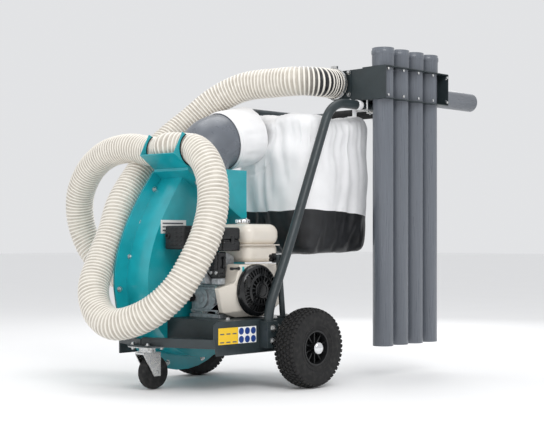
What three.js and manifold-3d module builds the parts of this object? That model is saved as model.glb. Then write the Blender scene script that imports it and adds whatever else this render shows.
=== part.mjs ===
// Walk-behind leaf vacuum with an engine-driven shredding fan, a filter bag, a draped suction hose
// and a rack of extension pipes. Millimetres, +Z up, the machine moves forward along -Y.
// While it is being built, X = 0 is midway between the wheels, Y = 0 is the wheel axle and Z = 0 is
// the ground; the last lines move the origin to the middle of the underside of the whole object.
// "Left" is +X, the engine side, as seen by the operator, who stands at +Y and faces -Y.

import * as THREE from 'three';
import { mergeVertices } from 'three/addons/utils/BufferGeometryUtils.js';
import Module from 'manifold-3d';

const wasm = await Module();
wasm.setup();

// ---------------------------------------------------------------- driving dimensions
const GAP = 0.3;                 // clearance between faces that touch
const SHEET = 3;                 // sheet steel thickness

const TRACK = 560;               // between the wheel centre planes
const WHEEL_OD = 270;
const TYRE_WIDTH = 86;
const RIM_OD = 120;
const HUB_LENGTH = 84;
const AXLE_OD = 20;

const CHASSIS_TOP = 233;         // height of the engine deck
const CHASSIS_BOTTOM = 122;
const CHASSIS_LEFT = 190;        // outer face of the left side plate
const CHASSIS_FRONT = -355;
const CHASSIS_REAR = 170;
const RAIL_X = -225;             // inner face of the right rail
const RAIL_THICK = 6;

const CASTER_X = -66;            // swivel axis
const CASTER_Y = -418;
const CASTER_TRAIL = 25;
const CASTER_WHEEL_OD = 114;
const CASTER_WHEEL_WIDTH = 36;
const CASTER_HEIGHT = 145;       // ground to the top of the mounting plate

const CRANK_Y = -106;            // fan and crankshaft axis, along X
const CRANK_Z = 330;
const FAN_LEFT = -100;           // engine-side face of the fan housing
const FAN_RIGHT = -212;          // cover side of the fan housing
const FAN_BASE_RADIUS = 184;     // spiral radius at the tongue
const FAN_GROWTH = 0.4;          // spiral growth, mm per degree
const FAN_TONGUE_ANGLE = 60;     // degrees above +Y
const COVER_LIP = 52;            // how far the cover flange stands outside the spiral
const MOUTH_FRONT_Y = -263;      // front edge of the sloping outlet flange
const MOUTH_FRONT_Z = 739;
const MOUTH_SLOPE = 0.625;       // fall of the outlet flange towards the rear
const MOUTH_REAR_Y = 28;
const MOUTH_LEFT = -38;
const MOUTH_RIGHT = -215;
const IMPELLER_RADIUS = 162;
const BLADE_COUNT = 6;
const SHAFT_OD = 25;

const ELBOW_X = -138;
const ELBOW_OD = 200;
const ELBOW_WALL = 3.5;
const ELBOW_Y = -112;            // axis where the elbow leaves the hood
const ELBOW_BEND_RADIUS = 106;
const ELBOW_BEND = 78;           // degrees
const ELBOW_TAIL = 110;          // straight end inside the bag sleeve
const HOOD_TOP = 745;

const HOSE_OD = 104;
const CRADLE_Y = -240;           // hose axis where it lies in the cradle
const CRADLE_Z = 808;

const SHROUD_BACK = 72;          // engine fan shroud, along X
const SHROUD_FACE = 130;
const FLYWHEEL_RADIUS = 76;
const RECOIL_RADIUS = 88;

const TUBE_OD = 33;              // push handle
const HANDLE_LEFT = CHASSIS_LEFT + TUBE_OD / 2 + 0.5;
const HANDLE_RIGHT = -265;
const HANDLE_Z = 986;
const HANDLE_REAR = 600;
const HANDLE_CORNER = 90;

const BAG = { x0: -222, x1: 176, y0: 112, y1: 495, z0: 458, z1: 965, wall: 4 };

const PIPE_OD = 75;
const PIPE_WALL = 2.6;
const PIPE_LENGTH = 1075;
const SOCKET_OD = 81;
const SOCKET_BEAD_OD = 86;
const SOCKET_LENGTH = 69;
const PIPE_COUNT = 4;
const PIPE_PITCH = 88;
const PIPE_X = 280;
const PIPE_FIRST_Y = 399;
const RACK = { x0: 228, x1: 336, y0: 345, y1: 722, height: 118 };
const LANCE_X = 118;             // axis of the horizontal pipe and of the hose flange
const LANCE_Z = HANDLE_Z + 82;
const LANCE_LENGTH = 828;

// ---------------------------------------------------------------- materials
function material(color, roughness, metalness) {
  return new THREE.MeshStandardMaterial({ color, roughness, metalness });
}
const TEAL = material(0x1fa3ae, 0.35, 0.1);
const ANTHRACITE = material(0x2b3338, 0.45, 0.2);
const IVORY = material(0xe4dcd4, 0.35, 0.0);
const BLACK = material(0x17181a, 0.5, 0.0);
const RUBBER = material(0x111213, 0.85, 0.0);
const GREY_PVC = material(0x6e737b, 0.35, 0.0);
const ZINC = material(0xb9bcc0, 0.35, 0.9);
const ALUMINIUM = material(0x8b9097, 0.5, 0.7);
const CHROME = material(0xd8dadd, 0.15, 1.0);
const CLOTH = material(0xededed, 0.95, 0.0);
const HOSE = material(0xe6e1d6, 0.5, 0.0);

// ---------------------------------------------------------------- solids
const radians = THREE.MathUtils.degToRad;
const ALONG = {                  // maps a shape's x, y and depth onto the machine's axes
  x: new THREE.Matrix4().makeBasis(
    new THREE.Vector3(0, 1, 0), new THREE.Vector3(0, 0, 1), new THREE.Vector3(1, 0, 0)),
  y: new THREE.Matrix4().makeBasis(
    new THREE.Vector3(1, 0, 0), new THREE.Vector3(0, 0, 1), new THREE.Vector3(0, -1, 0)),
  z: new THREE.Matrix4(),
};

// A closed geometry as a manifold solid with its faces pointing out.
function solid(geometry) {
  const bare = geometry.clone();
  bare.deleteAttribute('normal');
  bare.deleteAttribute('uv');
  const merged = mergeVertices(bare, 1e-4);
  const vertProperties = new Float32Array(merged.attributes.position.array);
  const triVerts = new Uint32Array(merged.index.array);
  return new wasm.Manifold(new wasm.Mesh({ numProp: 3, vertProperties, triVerts }));
}

function geometryOf(shape) {
  const mesh = shape.getMesh();
  const geometry = new THREE.BufferGeometry();
  geometry.setAttribute('position', new THREE.BufferAttribute(mesh.vertProperties, 3));
  geometry.setIndex(new THREE.BufferAttribute(mesh.triVerts, 1));
  geometry.computeVertexNormals();
  return geometry;
}

function join(first, ...others) {
  return others.reduce((sum, other) => sum.add(other), first);
}

function cut(first, ...tools) {
  return tools.reduce((rest, tool) => rest.subtract(tool), first);
}

function box(x0, x1, y0, y1, z0, z1) {
  const geometry = new THREE.BoxGeometry(x1 - x0, y1 - y0, z1 - z0);
  return solid(geometry.translate((x0 + x1) / 2, (y0 + y1) / 2, (z0 + z1) / 2));
}

// Cylinder along an axis from a to b; u and v are the centre's other two coordinates, in XYZ order.
function rod(axis, radius, a, b, u, v, sides = 24) {
  const geometry = new THREE.CylinderGeometry(radius, radius, b - a, sides);
  const middle = (a + b) / 2;
  if (axis === 'x') {
    geometry.rotateZ(-Math.PI / 2).translate(middle, u, v);
  } else if (axis === 'y') {
    geometry.translate(u, middle, v);
  } else {
    geometry.rotateX(Math.PI / 2).translate(u, v, middle);
  }
  return solid(geometry);
}

function ring(axis, outer, inner, a, b, u, v, sides = 24) {
  return cut(rod(axis, outer, a, b, u, v, sides), rod(axis, inner, a - 1, b + 1, u, v, sides));
}

function shapeOf(points) {
  return new THREE.Shape(points.map(([a, b]) => new THREE.Vector2(a, b)));
}

// Plate with its outline in YZ, XZ or XY, from a to b along the remaining axis.
function plate(axis, outline, a, b) {
  const shape = Array.isArray(outline) ? shapeOf(outline) : outline;
  const geometry = new THREE.ExtrudeGeometry(shape, { depth: b - a, bevelEnabled: false, curveSegments: 12 });
  geometry.applyMatrix4(ALONG[axis]);
  const start = { x: [a, 0, 0], y: [0, b, 0], z: [0, 0, a] }[axis];
  return solid(geometry.translate(...start));
}

// Turned solid about X: profile points are [radius, x].
function turned(profile, y, z, sides = 32) {
  const points = profile.map(([r, x]) => new THREE.Vector2(r, x));
  const geometry = new THREE.LatheGeometry(points, sides);
  return geometry.rotateZ(-Math.PI / 2).translate(0, y, z);
}

// A lathe or sweep may come out inside out; this turns its triangles round when it does.
function facingOut(geometry) {
  const position = geometry.attributes.position;
  const index = geometry.index ? Array.from(geometry.index.array) : [...Array(position.count).keys()];
  const corner = [new THREE.Vector3(), new THREE.Vector3(), new THREE.Vector3()];
  let volume = 0;
  for (let i = 0; i < index.length; i += 3) {
    corner.forEach((point, k) => point.fromBufferAttribute(position, index[i + k]));
    volume += corner[0].dot(corner[1].clone().cross(corner[2]));
  }
  if (volume < 0) {
    for (let i = 0; i < index.length; i += 3) {
      [index[i], index[i + 1]] = [index[i + 1], index[i]];
    }
  }
  geometry.setIndex(index);
  return geometry;
}

// Straight round bar between two points.
function bar(from, to, radius, sides = 16) {
  const a = new THREE.Vector3(...from);
  const b = new THREE.Vector3(...to);
  const geometry = new THREE.CylinderGeometry(radius, radius, a.distanceTo(b), sides);
  const turn = new THREE.Quaternion().setFromUnitVectors(
    new THREE.Vector3(0, 1, 0), b.clone().sub(a).normalize());
  geometry.applyQuaternion(turn).translate((a.x + b.x) / 2, (a.y + b.y) / 2, (a.z + b.z) / 2);
  return solid(geometry);
}

// Straight rectangular bar between two points at one height, width across and height up.
function beam(from, to, width, height, z0) {
  const [ax, ay] = from;
  const [bx, by] = to;
  const length = Math.hypot(bx - ax, by - ay);
  const geometry = new THREE.BoxGeometry(length, width, height);
  geometry.rotateZ(Math.atan2(by - ay, bx - ax));
  return solid(geometry.translate((ax + bx) / 2, (ay + by) / 2, z0 + height / 2));
}

const machine = new THREE.Group();

function addNode(name, shape, look) {
  const geometry = shape.isBufferGeometry ? facingOut(shape) : geometryOf(shape);
  const mesh = new THREE.Mesh(geometry, look);
  mesh.name = name;
  machine.add(mesh);
}

// ---------------------------------------------------------------- chassis and wheels
const AXLE_Z = WHEEL_OD / 2;
const WHEEL_X = TRACK / 2;

function chassisFrame() {
  const bottom = CHASSIS_BOTTOM;
  const top = CHASSIS_TOP;
  const innerWall = FAN_LEFT + GAP;
  const sideOutline = [
    [CHASSIS_FRONT, 175], [CHASSIS_FRONT + 12, bottom], [CHASSIS_REAR, bottom], [CHASSIS_REAR, 185],
    [60, 222], [20, top], [CHASSIS_FRONT + 18, top], [CHASSIS_FRONT, 222],
  ];
  const side = plate('x', sideOutline, CHASSIS_LEFT - 4, CHASSIS_LEFT);
  const deck = box(innerWall, CHASSIS_LEFT, -300, 60, top - 4, top);
  const innerSide = box(innerWall, innerWall + 4, -300, 60, 175, top);
  const frontSheet = box(innerWall, CHASSIS_LEFT, -300, -296, 150, top);
  const hanger = box(96, 100, -30, 30, 110, top - 2);
  const rearCross = box(RAIL_X - RAIL_THICK, CHASSIS_LEFT, CHASSIS_REAR - 20, CHASSIS_REAR, bottom, 170);
  const deckTie = box(40, 60, 40, CHASSIS_REAR - 10, bottom, 160);
  const deckPost = box(40, 60, 40, 60, bottom, top);
  const rail = box(RAIL_X - RAIL_THICK, RAIL_X, -405, CHASSIS_REAR, 110, 170);
  const armZ = CASTER_HEIGHT + GAP;
  const leftArm = beam([CHASSIS_LEFT - 4, -338], [CASTER_X, CASTER_Y - 18], 24, 30, armZ);
  const rightArm = beam([RAIL_X - 3, -396], [CASTER_X, CASTER_Y - 18], 20, 24, armZ);
  const nosePlate = plate('z', [
    [CASTER_X - 52, CASTER_Y - 43], [CASTER_X + 52, CASTER_Y - 43],
    [CASTER_X + 92, CASTER_Y + 12], [CASTER_X + 50, CASTER_Y + 40], [CASTER_X - 50, CASTER_Y + 40],
  ], armZ, armZ + 5);
  const gusset = plate('z', [
    [CASTER_X + 40, CASTER_Y + 5], [CHASSIS_LEFT - 2, -340], [CHASSIS_LEFT - 2, -297], [40, -297],
  ], armZ + 5, armZ + 9);
  const frame = join(side, deck, innerSide, frontSheet, hanger, rearCross, deckTie, deckPost,
    rail, leftArm, rightArm, nosePlate, gusset);
  const axleHole = AXLE_OD / 2 + GAP;
  return cut(frame,
    rod('x', axleHole, 90, CHASSIS_LEFT + 5, 0, AXLE_Z),
    rod('x', axleHole, RAIL_X - RAIL_THICK - 5, RAIL_X + 5, 0, AXLE_Z));
}

function axles() {
  const radius = AXLE_OD / 2;
  const end = WHEEL_X + HUB_LENGTH / 2 + 2;
  addNode('axle_left', rod('x', radius, 94, end, 0, AXLE_Z, 20), ZINC);
  const head = rod('x', 20, RAIL_X + GAP, RAIL_X + 4, 0, AXLE_Z, 20);
  addNode('axle_right', join(rod('x', radius, -end, RAIL_X + 2, 0, AXLE_Z, 20), head), ZINC);
}

function tyreProfile(centre) {
  const seat = RIM_OD / 2 + 1;
  const outer = WHEEL_OD / 2;
  const half = TYRE_WIDTH / 2;
  const side = [
    [seat, 0.84 * half], [seat + 22, half], [outer - 20, half], [outer - 7, 0.88 * half],
    [outer, 0.4 * half],
  ];
  const right = side.map(([r, x]) => [r, centre - x]);
  const left = side.map(([r, x]) => [r, centre + x]).reverse();
  return [...right, ...left, right[0]];
}

function rim(centre) {
  const outer = RIM_OD / 2;
  const half = 0.42 * TYRE_WIDTH;
  const barrel = ring('x', outer, outer - 6, centre - half, centre + half, 0, AXLE_Z, 24);
  const web = rod('x', outer - 3, centre - 5, centre + 5, 0, AXLE_Z, 24);
  const hub = rod('x', 19, centre - HUB_LENGTH / 2, centre + HUB_LENGTH / 2, 0, AXLE_Z, 20);
  const windows = [];
  for (let i = 0; i < 5; i += 1) {
    const angle = radians(90 + 72 * i);
    windows.push(rod('x', 12, centre - 20, centre + 20, 37 * Math.cos(angle), AXLE_Z + 37 * Math.sin(angle), 8));
  }
  const bore = rod('x', AXLE_OD / 2 + GAP, centre - 90, centre + 90, 0, AXLE_Z, 20);
  return cut(join(barrel, web, hub), ...windows, bore);
}

function hubCap(side) {
  const inner = WHEEL_X + HUB_LENGTH / 2 + GAP;
  const profile = [[0, inner + 11], [14, inner + 9], [22, inner + 3], [22, inner], [13, inner],
    [13, inner + 3], [0, inner + 3]];
  return turned(profile.map(([r, x]) => [r, side * x]), 0, AXLE_Z, 24);
}

function wheel(name, side) {
  const centre = side * WHEEL_X;
  addNode(`tyre_${name}`, turned(tyreProfile(centre), 0, AXLE_Z, 30), RUBBER);
  addNode(`rim_${name}`, rim(centre), BLACK);
  addNode(`hub_cap_${name}`, hubCap(side), CHROME);
}

function caster() {
  const top = CASTER_HEIGHT;
  const wheelY = CASTER_Y + CASTER_TRAIL;
  const radius = CASTER_WHEEL_OD / 2;
  const half = CASTER_WHEEL_WIDTH / 2;
  const legIn = half + 2;
  const legOut = legIn + 3;
  const bridge = CASTER_WHEEL_OD + 5;
  addNode('caster_plate', box(CASTER_X - 50, CASTER_X + 50, CASTER_Y - 42, CASTER_Y + 42, top - 4, top), ZINC);
  const legOutline = [
    [CASTER_Y - 34, bridge], [CASTER_Y - 34, bridge + 6], [CASTER_Y + 40, bridge + 6],
    [CASTER_Y + 40, bridge], [wheelY + 14, radius - 12], [wheelY - 14, radius - 12],
  ];
  const legs = [-1, 1].map((s) => plate('x', legOutline,
    CASTER_X + Math.min(s * legIn, s * legOut), CASTER_X + Math.max(s * legIn, s * legOut)));
  const crown = box(CASTER_X - legOut, CASTER_X + legOut, CASTER_Y - 34, CASTER_Y + 40, bridge, bridge + 6);
  const head = rod('z', 27, bridge + 5, top - 4 - GAP, CASTER_X, CASTER_Y);
  const pinHole = rod('x', 5 + GAP, CASTER_X - 40, CASTER_X + 40, wheelY, radius, 16);
  addNode('caster_fork', cut(join(crown, head, ...legs), pinHole), ZINC);
  const tread = [
    [7, half], [radius - 18, half], [radius - 6, half], [radius, 0.45 * half],
    [radius, -0.45 * half], [radius - 6, -half], [radius - 18, -half], [7, -half], [7, half],
  ].map(([r, x]) => [r, CASTER_X + x]);
  addNode('caster_wheel', turned(tread, wheelY, radius, 28), RUBBER);
  addNode('caster_axle', rod('x', 5, CASTER_X - 27, CASTER_X + 27, wheelY, radius, 16), ZINC);
}

// ---------------------------------------------------------------- fan housing
// Point of the spiral, degrees after the tongue, with an offset outside the band.
function spiralPoint(turn, offset) {
  const radius = FAN_BASE_RADIUS + FAN_GROWTH * turn + offset;
  const angle = radians(FAN_TONGUE_ANGLE - turn);
  return [CRANK_Y + radius * Math.cos(angle), CRANK_Z + radius * Math.sin(angle)];
}

function mouthZ(y) {
  return MOUTH_FRONT_Z - MOUTH_SLOPE * (y - MOUTH_FRONT_Y);
}

// Outline of the housing in YZ: tongue, spiral under the fan and up the front, sloping mouth on top.
// Raise lifts the mouth line, so that the inside can be cut right through it.
function housingOutline(offset, frontTop, rearTop, bulge, raise) {
  const shape = new THREE.Shape();
  const lead = offset > 10 ? 20 : 0;
  shape.moveTo(rearTop, mouthZ(rearTop) + raise);
  if (raise > 0) shape.lineTo(rearTop, mouthZ(rearTop));
  for (let turn = lead; turn <= 240; turn += 10) {
    shape.lineTo(...spiralPoint(turn, offset));
  }
  const [y0, z0] = spiralPoint(240, offset);
  const z1 = mouthZ(frontTop) + Math.min(raise, 0);
  shape.quadraticCurveTo(y0 - bulge, z0 + 0.42 * (z1 - z0), frontTop, z1);
  if (raise > 0) shape.lineTo(frontTop, z1 + raise);
  return shape;
}

const BAND_FRONT = MOUTH_FRONT_Y + 35;
const BAND_REAR = -8;
const COVER_FACE = FAN_RIGHT - SHEET;      // outer face of the housing's own flange
const GASKET = 2;

function housingInside() {
  const outline = housingOutline(-SHEET, BAND_FRONT + SHEET + 1, BAND_REAR - SHEET, 12, 30);
  return plate('x', outline, FAN_RIGHT - 30, FAN_LEFT - SHEET);
}

function coverOutline() {
  return housingOutline(COVER_LIP, MOUTH_FRONT_Y, MOUTH_REAR_Y, 14, 0);
}

function outletFlange() {
  const rise = SHEET * Math.hypot(1, MOUTH_SLOPE);
  const strip = [
    [MOUTH_FRONT_Y, mouthZ(MOUTH_FRONT_Y)], [MOUTH_FRONT_Y, mouthZ(MOUTH_FRONT_Y) - rise],
    [MOUTH_REAR_Y, mouthZ(MOUTH_REAR_Y) - rise], [MOUTH_REAR_Y, mouthZ(MOUTH_REAR_Y)],
  ];
  return plate('x', strip, MOUTH_RIGHT, MOUTH_LEFT);
}

function fanHousing() {
  const band = plate('x', housingOutline(0, BAND_FRONT, BAND_REAR, 12, 0), FAN_RIGHT, FAN_LEFT);
  const flange = plate('x', coverOutline(), COVER_FACE, FAN_RIGHT);
  const shell = cut(join(band, flange, outletFlange()), housingInside());
  return cut(shell, rod('x', SHAFT_OD / 2 + 8, FAN_LEFT - 20, FAN_LEFT + 5, CRANK_Y, CRANK_Z));
}

function coverBolts(face) {
  const heads = [];
  for (let turn = 30; turn <= 240; turn += 35) {
    heads.push(rod('x', 6.5, face - 4, face + 1, ...spiralPoint(turn, COVER_LIP / 2 + 6), 6));
  }
  return heads;
}

function housingCover() {
  const inner = COVER_FACE - GASKET - 2 * GAP;
  const face = inner - SHEET;
  const sheet = plate('x', coverOutline(), face, inner);
  const bolted = join(sheet, ...coverBolts(face));
  return cut(bolted, rod('x', 47, face - 5, inner + 5, CRANK_Y, CRANK_Z, 28));
}

function housingGasket() {
  const left = COVER_FACE - GAP;
  const window = housingOutline(4, BAND_FRONT - 6, BAND_REAR + 4, 12, -18);
  return cut(plate('x', coverOutline(), left - GASKET, left), plate('x', window, left - 20, left + 20));
}

const COVER_OUT = COVER_FACE - GASKET - 2 * GAP - SHEET;
const SPIGOT_END = -262;

function inletSpigot() {
  const base = rod('x', 74, COVER_OUT - GAP - 3, COVER_OUT - GAP, CRANK_Y, CRANK_Z, 28);
  const neck = rod('x', 50, SPIGOT_END, COVER_OUT - GAP - 1, CRANK_Y, CRANK_Z, 28);
  return cut(join(base, neck), rod('x', 46, SPIGOT_END - 5, COVER_OUT + 5, CRANK_Y, CRANK_Z, 28));
}

function impeller() {
  const back = FAN_LEFT - SHEET - 12;
  const front = FAN_RIGHT + 14;
  const disc = rod('x', IMPELLER_RADIUS, back - 5, back, CRANK_Y, CRANK_Z, 36);
  const hub = rod('x', 30, front, back, CRANK_Y, CRANK_Z, 20);
  const blades = [];
  for (let i = 0; i < BLADE_COUNT; i += 1) {
    const blade = new THREE.BoxGeometry(back - front, IMPELLER_RADIUS - 22, 6);
    blade.translate((back + front) / 2, 20 + (IMPELLER_RADIUS - 22) / 2, 0);
    blade.rotateX(2 * Math.PI * i / BLADE_COUNT).translate(0, CRANK_Y, CRANK_Z);
    blades.push(solid(blade));
  }
  const bore = rod('x', SHAFT_OD / 2 + GAP, front - 5, back + 5, CRANK_Y, CRANK_Z, 20);
  return cut(join(disc, hub, ...blades), bore);
}

// ---------------------------------------------------------------- outlet and hose cradle
function outletHood() {
  const rear = MOUTH_REAR_Y - 8;
  const front = MOUTH_FRONT_Y + 2;
  const lift = GAP * Math.hypot(1, MOUTH_SLOPE);
  const outside = [
    [front, mouthZ(front) + lift], [rear, mouthZ(rear) + lift], [rear, HOOD_TOP], [front, HOOD_TOP],
  ];
  const inFront = BAND_FRONT + SHEET;
  const inside = [
    [inFront, mouthZ(inFront) - 20], [rear - SHEET, mouthZ(rear) - 20],
    [rear - SHEET, HOOD_TOP - SHEET], [inFront, HOOD_TOP - SHEET],
  ];
  const shell = cut(plate('x', outside, MOUTH_RIGHT, MOUTH_LEFT),
    plate('x', inside, MOUTH_RIGHT + SHEET, MOUTH_LEFT - SHEET));
  const collarRadius = ELBOW_OD / 2 - ELBOW_WALL - 3;
  const seat = rod('z', ELBOW_OD / 2 + 4, HOOD_TOP - SHEET, HOOD_TOP, ELBOW_X, ELBOW_Y, 24);
  const collar = rod('z', collarRadius, HOOD_TOP - 1, HOOD_TOP + 9, ELBOW_X, ELBOW_Y, 24);
  const throat = rod('z', collarRadius - 3, HOOD_TOP - 10, HOOD_TOP + 30, ELBOW_X, ELBOW_Y, 24);
  return cut(join(shell, seat, collar), throat);
}

// Axis of the elbow as straight lengths that touch its bend, so that it starts off vertical.
function elbowPath() {
  const base = HOOD_TOP + GAP;
  const bend = radians(ELBOW_BEND);
  const pieces = 6;
  const step = bend / pieces;
  const onBend = (radius, angle) => new THREE.Vector3(ELBOW_X,
    ELBOW_Y + ELBOW_BEND_RADIUS - radius * Math.cos(angle), base + radius * Math.sin(angle));
  const points = [new THREE.Vector3(ELBOW_X, ELBOW_Y, base)];
  for (let i = 0; i < pieces; i += 1) {
    points.push(onBend(ELBOW_BEND_RADIUS / Math.cos(step / 2), (i + 0.5) * step));
  }
  const mouth = onBend(ELBOW_BEND_RADIUS, bend);
  const tail = new THREE.Vector3(0, Math.sin(bend), Math.cos(bend)).multiplyScalar(ELBOW_TAIL);
  points.push(mouth.clone().add(tail));
  return { points, mouth, tail };
}

function outletElbow() {
  return tubeAlong(elbowPath().points, ELBOW_OD / 2, ELBOW_OD / 2 - ELBOW_WALL, 24);
}

const NOTCH_RADIUS = HOSE_OD / 2 + 8;
const NOTCH_START = radians(122);
const NOTCH_END = radians(345);
const EAR_RIGHT = MOUTH_RIGHT;
const EAR_LEFT = MOUTH_LEFT - SHEET;

const APRON_TOP = [-326, 790];   // front-top corner of the cradle

function earOutline() {
  const shape = new THREE.Shape();
  const foot = HOOD_TOP + GAP;
  shape.moveTo(MOUTH_FRONT_Y + 2, foot);
  shape.lineTo(...APRON_TOP);
  shape.lineTo(APRON_TOP[0] + 40, APRON_TOP[1] + 74);
  shape.lineTo(APRON_TOP[0] + 50, APRON_TOP[1] + 70);
  shape.absarc(CRADLE_Y, CRADLE_Z, NOTCH_RADIUS, NOTCH_START, NOTCH_END, false);
  shape.lineTo(CRADLE_Y + NOTCH_RADIUS + 5, CRADLE_Z - 14);
  shape.lineTo(ELBOW_Y - 70, CRADLE_Z - 24);
  shape.lineTo(ELBOW_Y - 70, foot);
  return shape;
}

function hoseCradle() {
  const foot = HOOD_TOP + GAP;
  const front = MOUTH_FRONT_Y + 2;
  const ears = [EAR_RIGHT, EAR_LEFT].map((x) => plate('x', earOutline(), x, x + SHEET));
  const apron = plate('x', [
    [front, foot], [front + 5, foot], [APRON_TOP[0] + 2, APRON_TOP[1] + 2.5], APRON_TOP,
  ], MOUTH_RIGHT, MOUTH_LEFT);
  const floor = box(MOUTH_RIGHT, MOUTH_LEFT, front, CRADLE_Y + 18, foot, foot + SHEET);
  return join(apron, floor, ...ears);
}

// Rubber edge trim: a C-shaped bead over the rim of one ear's notch.
function cradleTrim(x) {
  const outer = NOTCH_RADIUS - GAP;
  const shape = new THREE.Shape();
  shape.absarc(CRADLE_Y, CRADLE_Z, outer, NOTCH_START, NOTCH_END, false);
  shape.absarc(CRADLE_Y, CRADLE_Z, outer - 3, NOTCH_END, NOTCH_START, true);
  return plate('x', shape, x - 3, x + SHEET + 3);
}

// ---------------------------------------------------------------- engine
const DECK = CHASSIS_TOP + GAP;

function crankcase() {
  const block = box(-80, SHROUD_BACK - GAP, -206, -20, DECK + 10, 346);
  const upper = box(-80, SHROUD_BACK - GAP, -130, -20, 340, 412);
  const feet = box(-80, SHROUD_BACK - 2, -216, -6, DECK, DECK + 12);
  const boss = rod('x', 52, FAN_LEFT + GAP, -70, CRANK_Y, CRANK_Z, 28);
  const filler = rod('y', 15, -216, -200, -62, 300, 16);
  const bore = rod('x', SHAFT_OD / 2 + GAP, -120, SHROUD_BACK + 5, CRANK_Y, CRANK_Z, 20);
  return cut(join(block, upper, feet, boss, filler), bore);
}

function cylinderHead() {
  const outline = [
    [-131, 347], [-131, 440], [-165, 455], [-282, 402], [-262, 352], [-207, 347],
  ];
  const block = plate('x', outline, -62, 52);
  const slots = [];
  for (let i = 0; i < 4; i += 1) {
    const fin = new THREE.BoxGeometry(140, 5, 90);
    fin.rotateX(radians(-25)).translate(0, -158 - 22 * i, 480 - 10.3 * i);
    slots.push(solid(fin));
  }
  return cut(block, ...slots);
}

function shroud() {
  const skirt = plate('x', [
    [-243, 335], [-222, 250], [-165, DECK + 1], [-50, DECK + 1], [30, 280], [36, 400], [20, 416],
    [-180, 416], [-195, 345],
  ], SHROUD_BACK, 100);
  const face = plate('x', [
    [-200, 415], [-205, 355], [-152, 240], [-50, 237], [28, 283], [33, 398], [18, 414],
  ], 99, SHROUD_FACE);
  const well = rod('x', FLYWHEEL_RADIUS + 6, SHROUD_BACK - 5, SHROUD_FACE - 4, CRANK_Y, CRANK_Z, 32);
  const eye = rod('x', 58, SHROUD_BACK, SHROUD_FACE + 5, CRANK_Y, CRANK_Z, 28);
  return cut(join(skirt, face), well, eye);
}

function crankshaft() {
  return join(
    rod('x', SHAFT_OD / 2, FAN_RIGHT + 10, 112, CRANK_Y, CRANK_Z, 20),
    rod('x', 20, FAN_RIGHT + 6, FAN_RIGHT + 12, CRANK_Y, CRANK_Z, 6));
}

function flywheel() {
  const disc = rod('x', FLYWHEEL_RADIUS - 14, 78, 92, CRANK_Y, CRANK_Z, 28);
  const fins = [];
  for (let i = 0; i < 10; i += 1) {
    const fin = new THREE.BoxGeometry(18, 30, 4).translate(95, FLYWHEEL_RADIUS - 15, 0);
    fins.push(solid(fin.rotateX(2 * Math.PI * i / 10).translate(0, CRANK_Y, CRANK_Z)));
  }
  const cup = rod('x', 34, 90, 120, CRANK_Y, CRANK_Z, 20);
  const pocket = rod('x', 28, 104, 130, CRANK_Y, CRANK_Z, 20);
  const bore = rod('x', SHAFT_OD / 2 + GAP, 60, 140, CRANK_Y, CRANK_Z, 20);
  return cut(join(disc, cup, ...fins), bore, pocket);
}

function recoilCover() {
  const back = SHROUD_FACE + GAP;
  const r = RECOIL_RADIUS;
  return turned([
    [0, back + 35], [40, back + 34], [r - 12, back + 26], [r, back + 12], [r, back],
    [r - 6, back], [r - 6, back + 10], [r - 16, back + 21], [38, back + 29], [0, back + 30],
  ], CRANK_Y, CRANK_Z - 2, 30);
}

function recoilGrip() {
  const grip = rod('z', 8, 338, 378, 176, -184, 12);
  return join(grip, rod('x', 4, 158, 178, -184, 358, 8));
}

function fuelTank() {
  const outline = new THREE.Shape();
  const [x0, x1, y0, y1, r] = [-60, 110, -124, 50, 34];
  outline.moveTo(x0 + r, y0);
  outline.absarc(x1 - r, y0 + r, r, -Math.PI / 2, 0, false);
  outline.absarc(x1 - r, y1 - r, r, 0, Math.PI / 2, false);
  outline.absarc(x0 + r, y1 - r, r, Math.PI / 2, Math.PI, false);
  outline.absarc(x0 + r, y0 + r, r, Math.PI, 1.5 * Math.PI, false);
  const halfOptions = (depth, bevel) => ({
    depth, bevelEnabled: true, bevelThickness: bevel, bevelSize: bevel, bevelOffset: -bevel,
    bevelSegments: 2, curveSegments: 3,
  });
  const body = new THREE.ExtrudeGeometry(outline, halfOptions(132 - 44, 22)).translate(0, 0, 421 + 22);
  const lip = new THREE.ExtrudeGeometry(outline, { depth: 3, bevelEnabled: false, curveSegments: 3 });
  lip.translate(-25, 37, 0).scale(1.05, 1.04, 1).translate(25, -37, 479);
  const inside = body.clone().translate(-25, 37, -487).scale(0.96, 0.96, 0.95).translate(25, -37, 487);
  const neck = rod('z', 20, 545, 557, 8, -45, 16);
  const filler = rod('z', 16, 530, 560, 8, -45, 16);
  return cut(join(solid(body), solid(lip), neck), solid(inside), filler);
}

function engineTrim() {
  const cap = join(rod('z', 25, 557 + GAP, 570, 8, -45, 20), box(-14, 30, -48, -42, 560, 575));
  addNode('fuel_cap', cap, CHROME);
  addNode('air_cleaner', roundedBox(20, 115, -240, -155, 460 + GAP, 542, 9), BLACK);
  addNode('intake_elbow', join(
    roundedBox(55, 100, -250, -208, 370 + GAP, 460, 5),
    rod('y', 4, -253, -248, 66, 388, 6), rod('y', 4, -253, -248, 90, 388, 6)), BLACK);
  addNode('carburettor', roundedBox(56, 96, -246, -208, 348, 370, 3), ALUMINIUM);
  const guard = roundedBox(-88, 10, -325, -236, 466, 546, 7);
  const tail = rod('y', 9, -330, -300, -68, 512, 12);
  addNode('muffler_guard', cut(guard, box(-70, -8, -300, -250, 400, 530), tail), BLACK);
  addNode('oil_cap', rod('y', 14, -238, -216 - GAP, -62, 300, 12), BLACK);
  addNode('engine_switch', join(rod('x', 11, SHROUD_FACE + GAP, 136, 8, 384, 12),
    box(135, 146, 4, 12, 374, 394)), BLACK);
}

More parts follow.
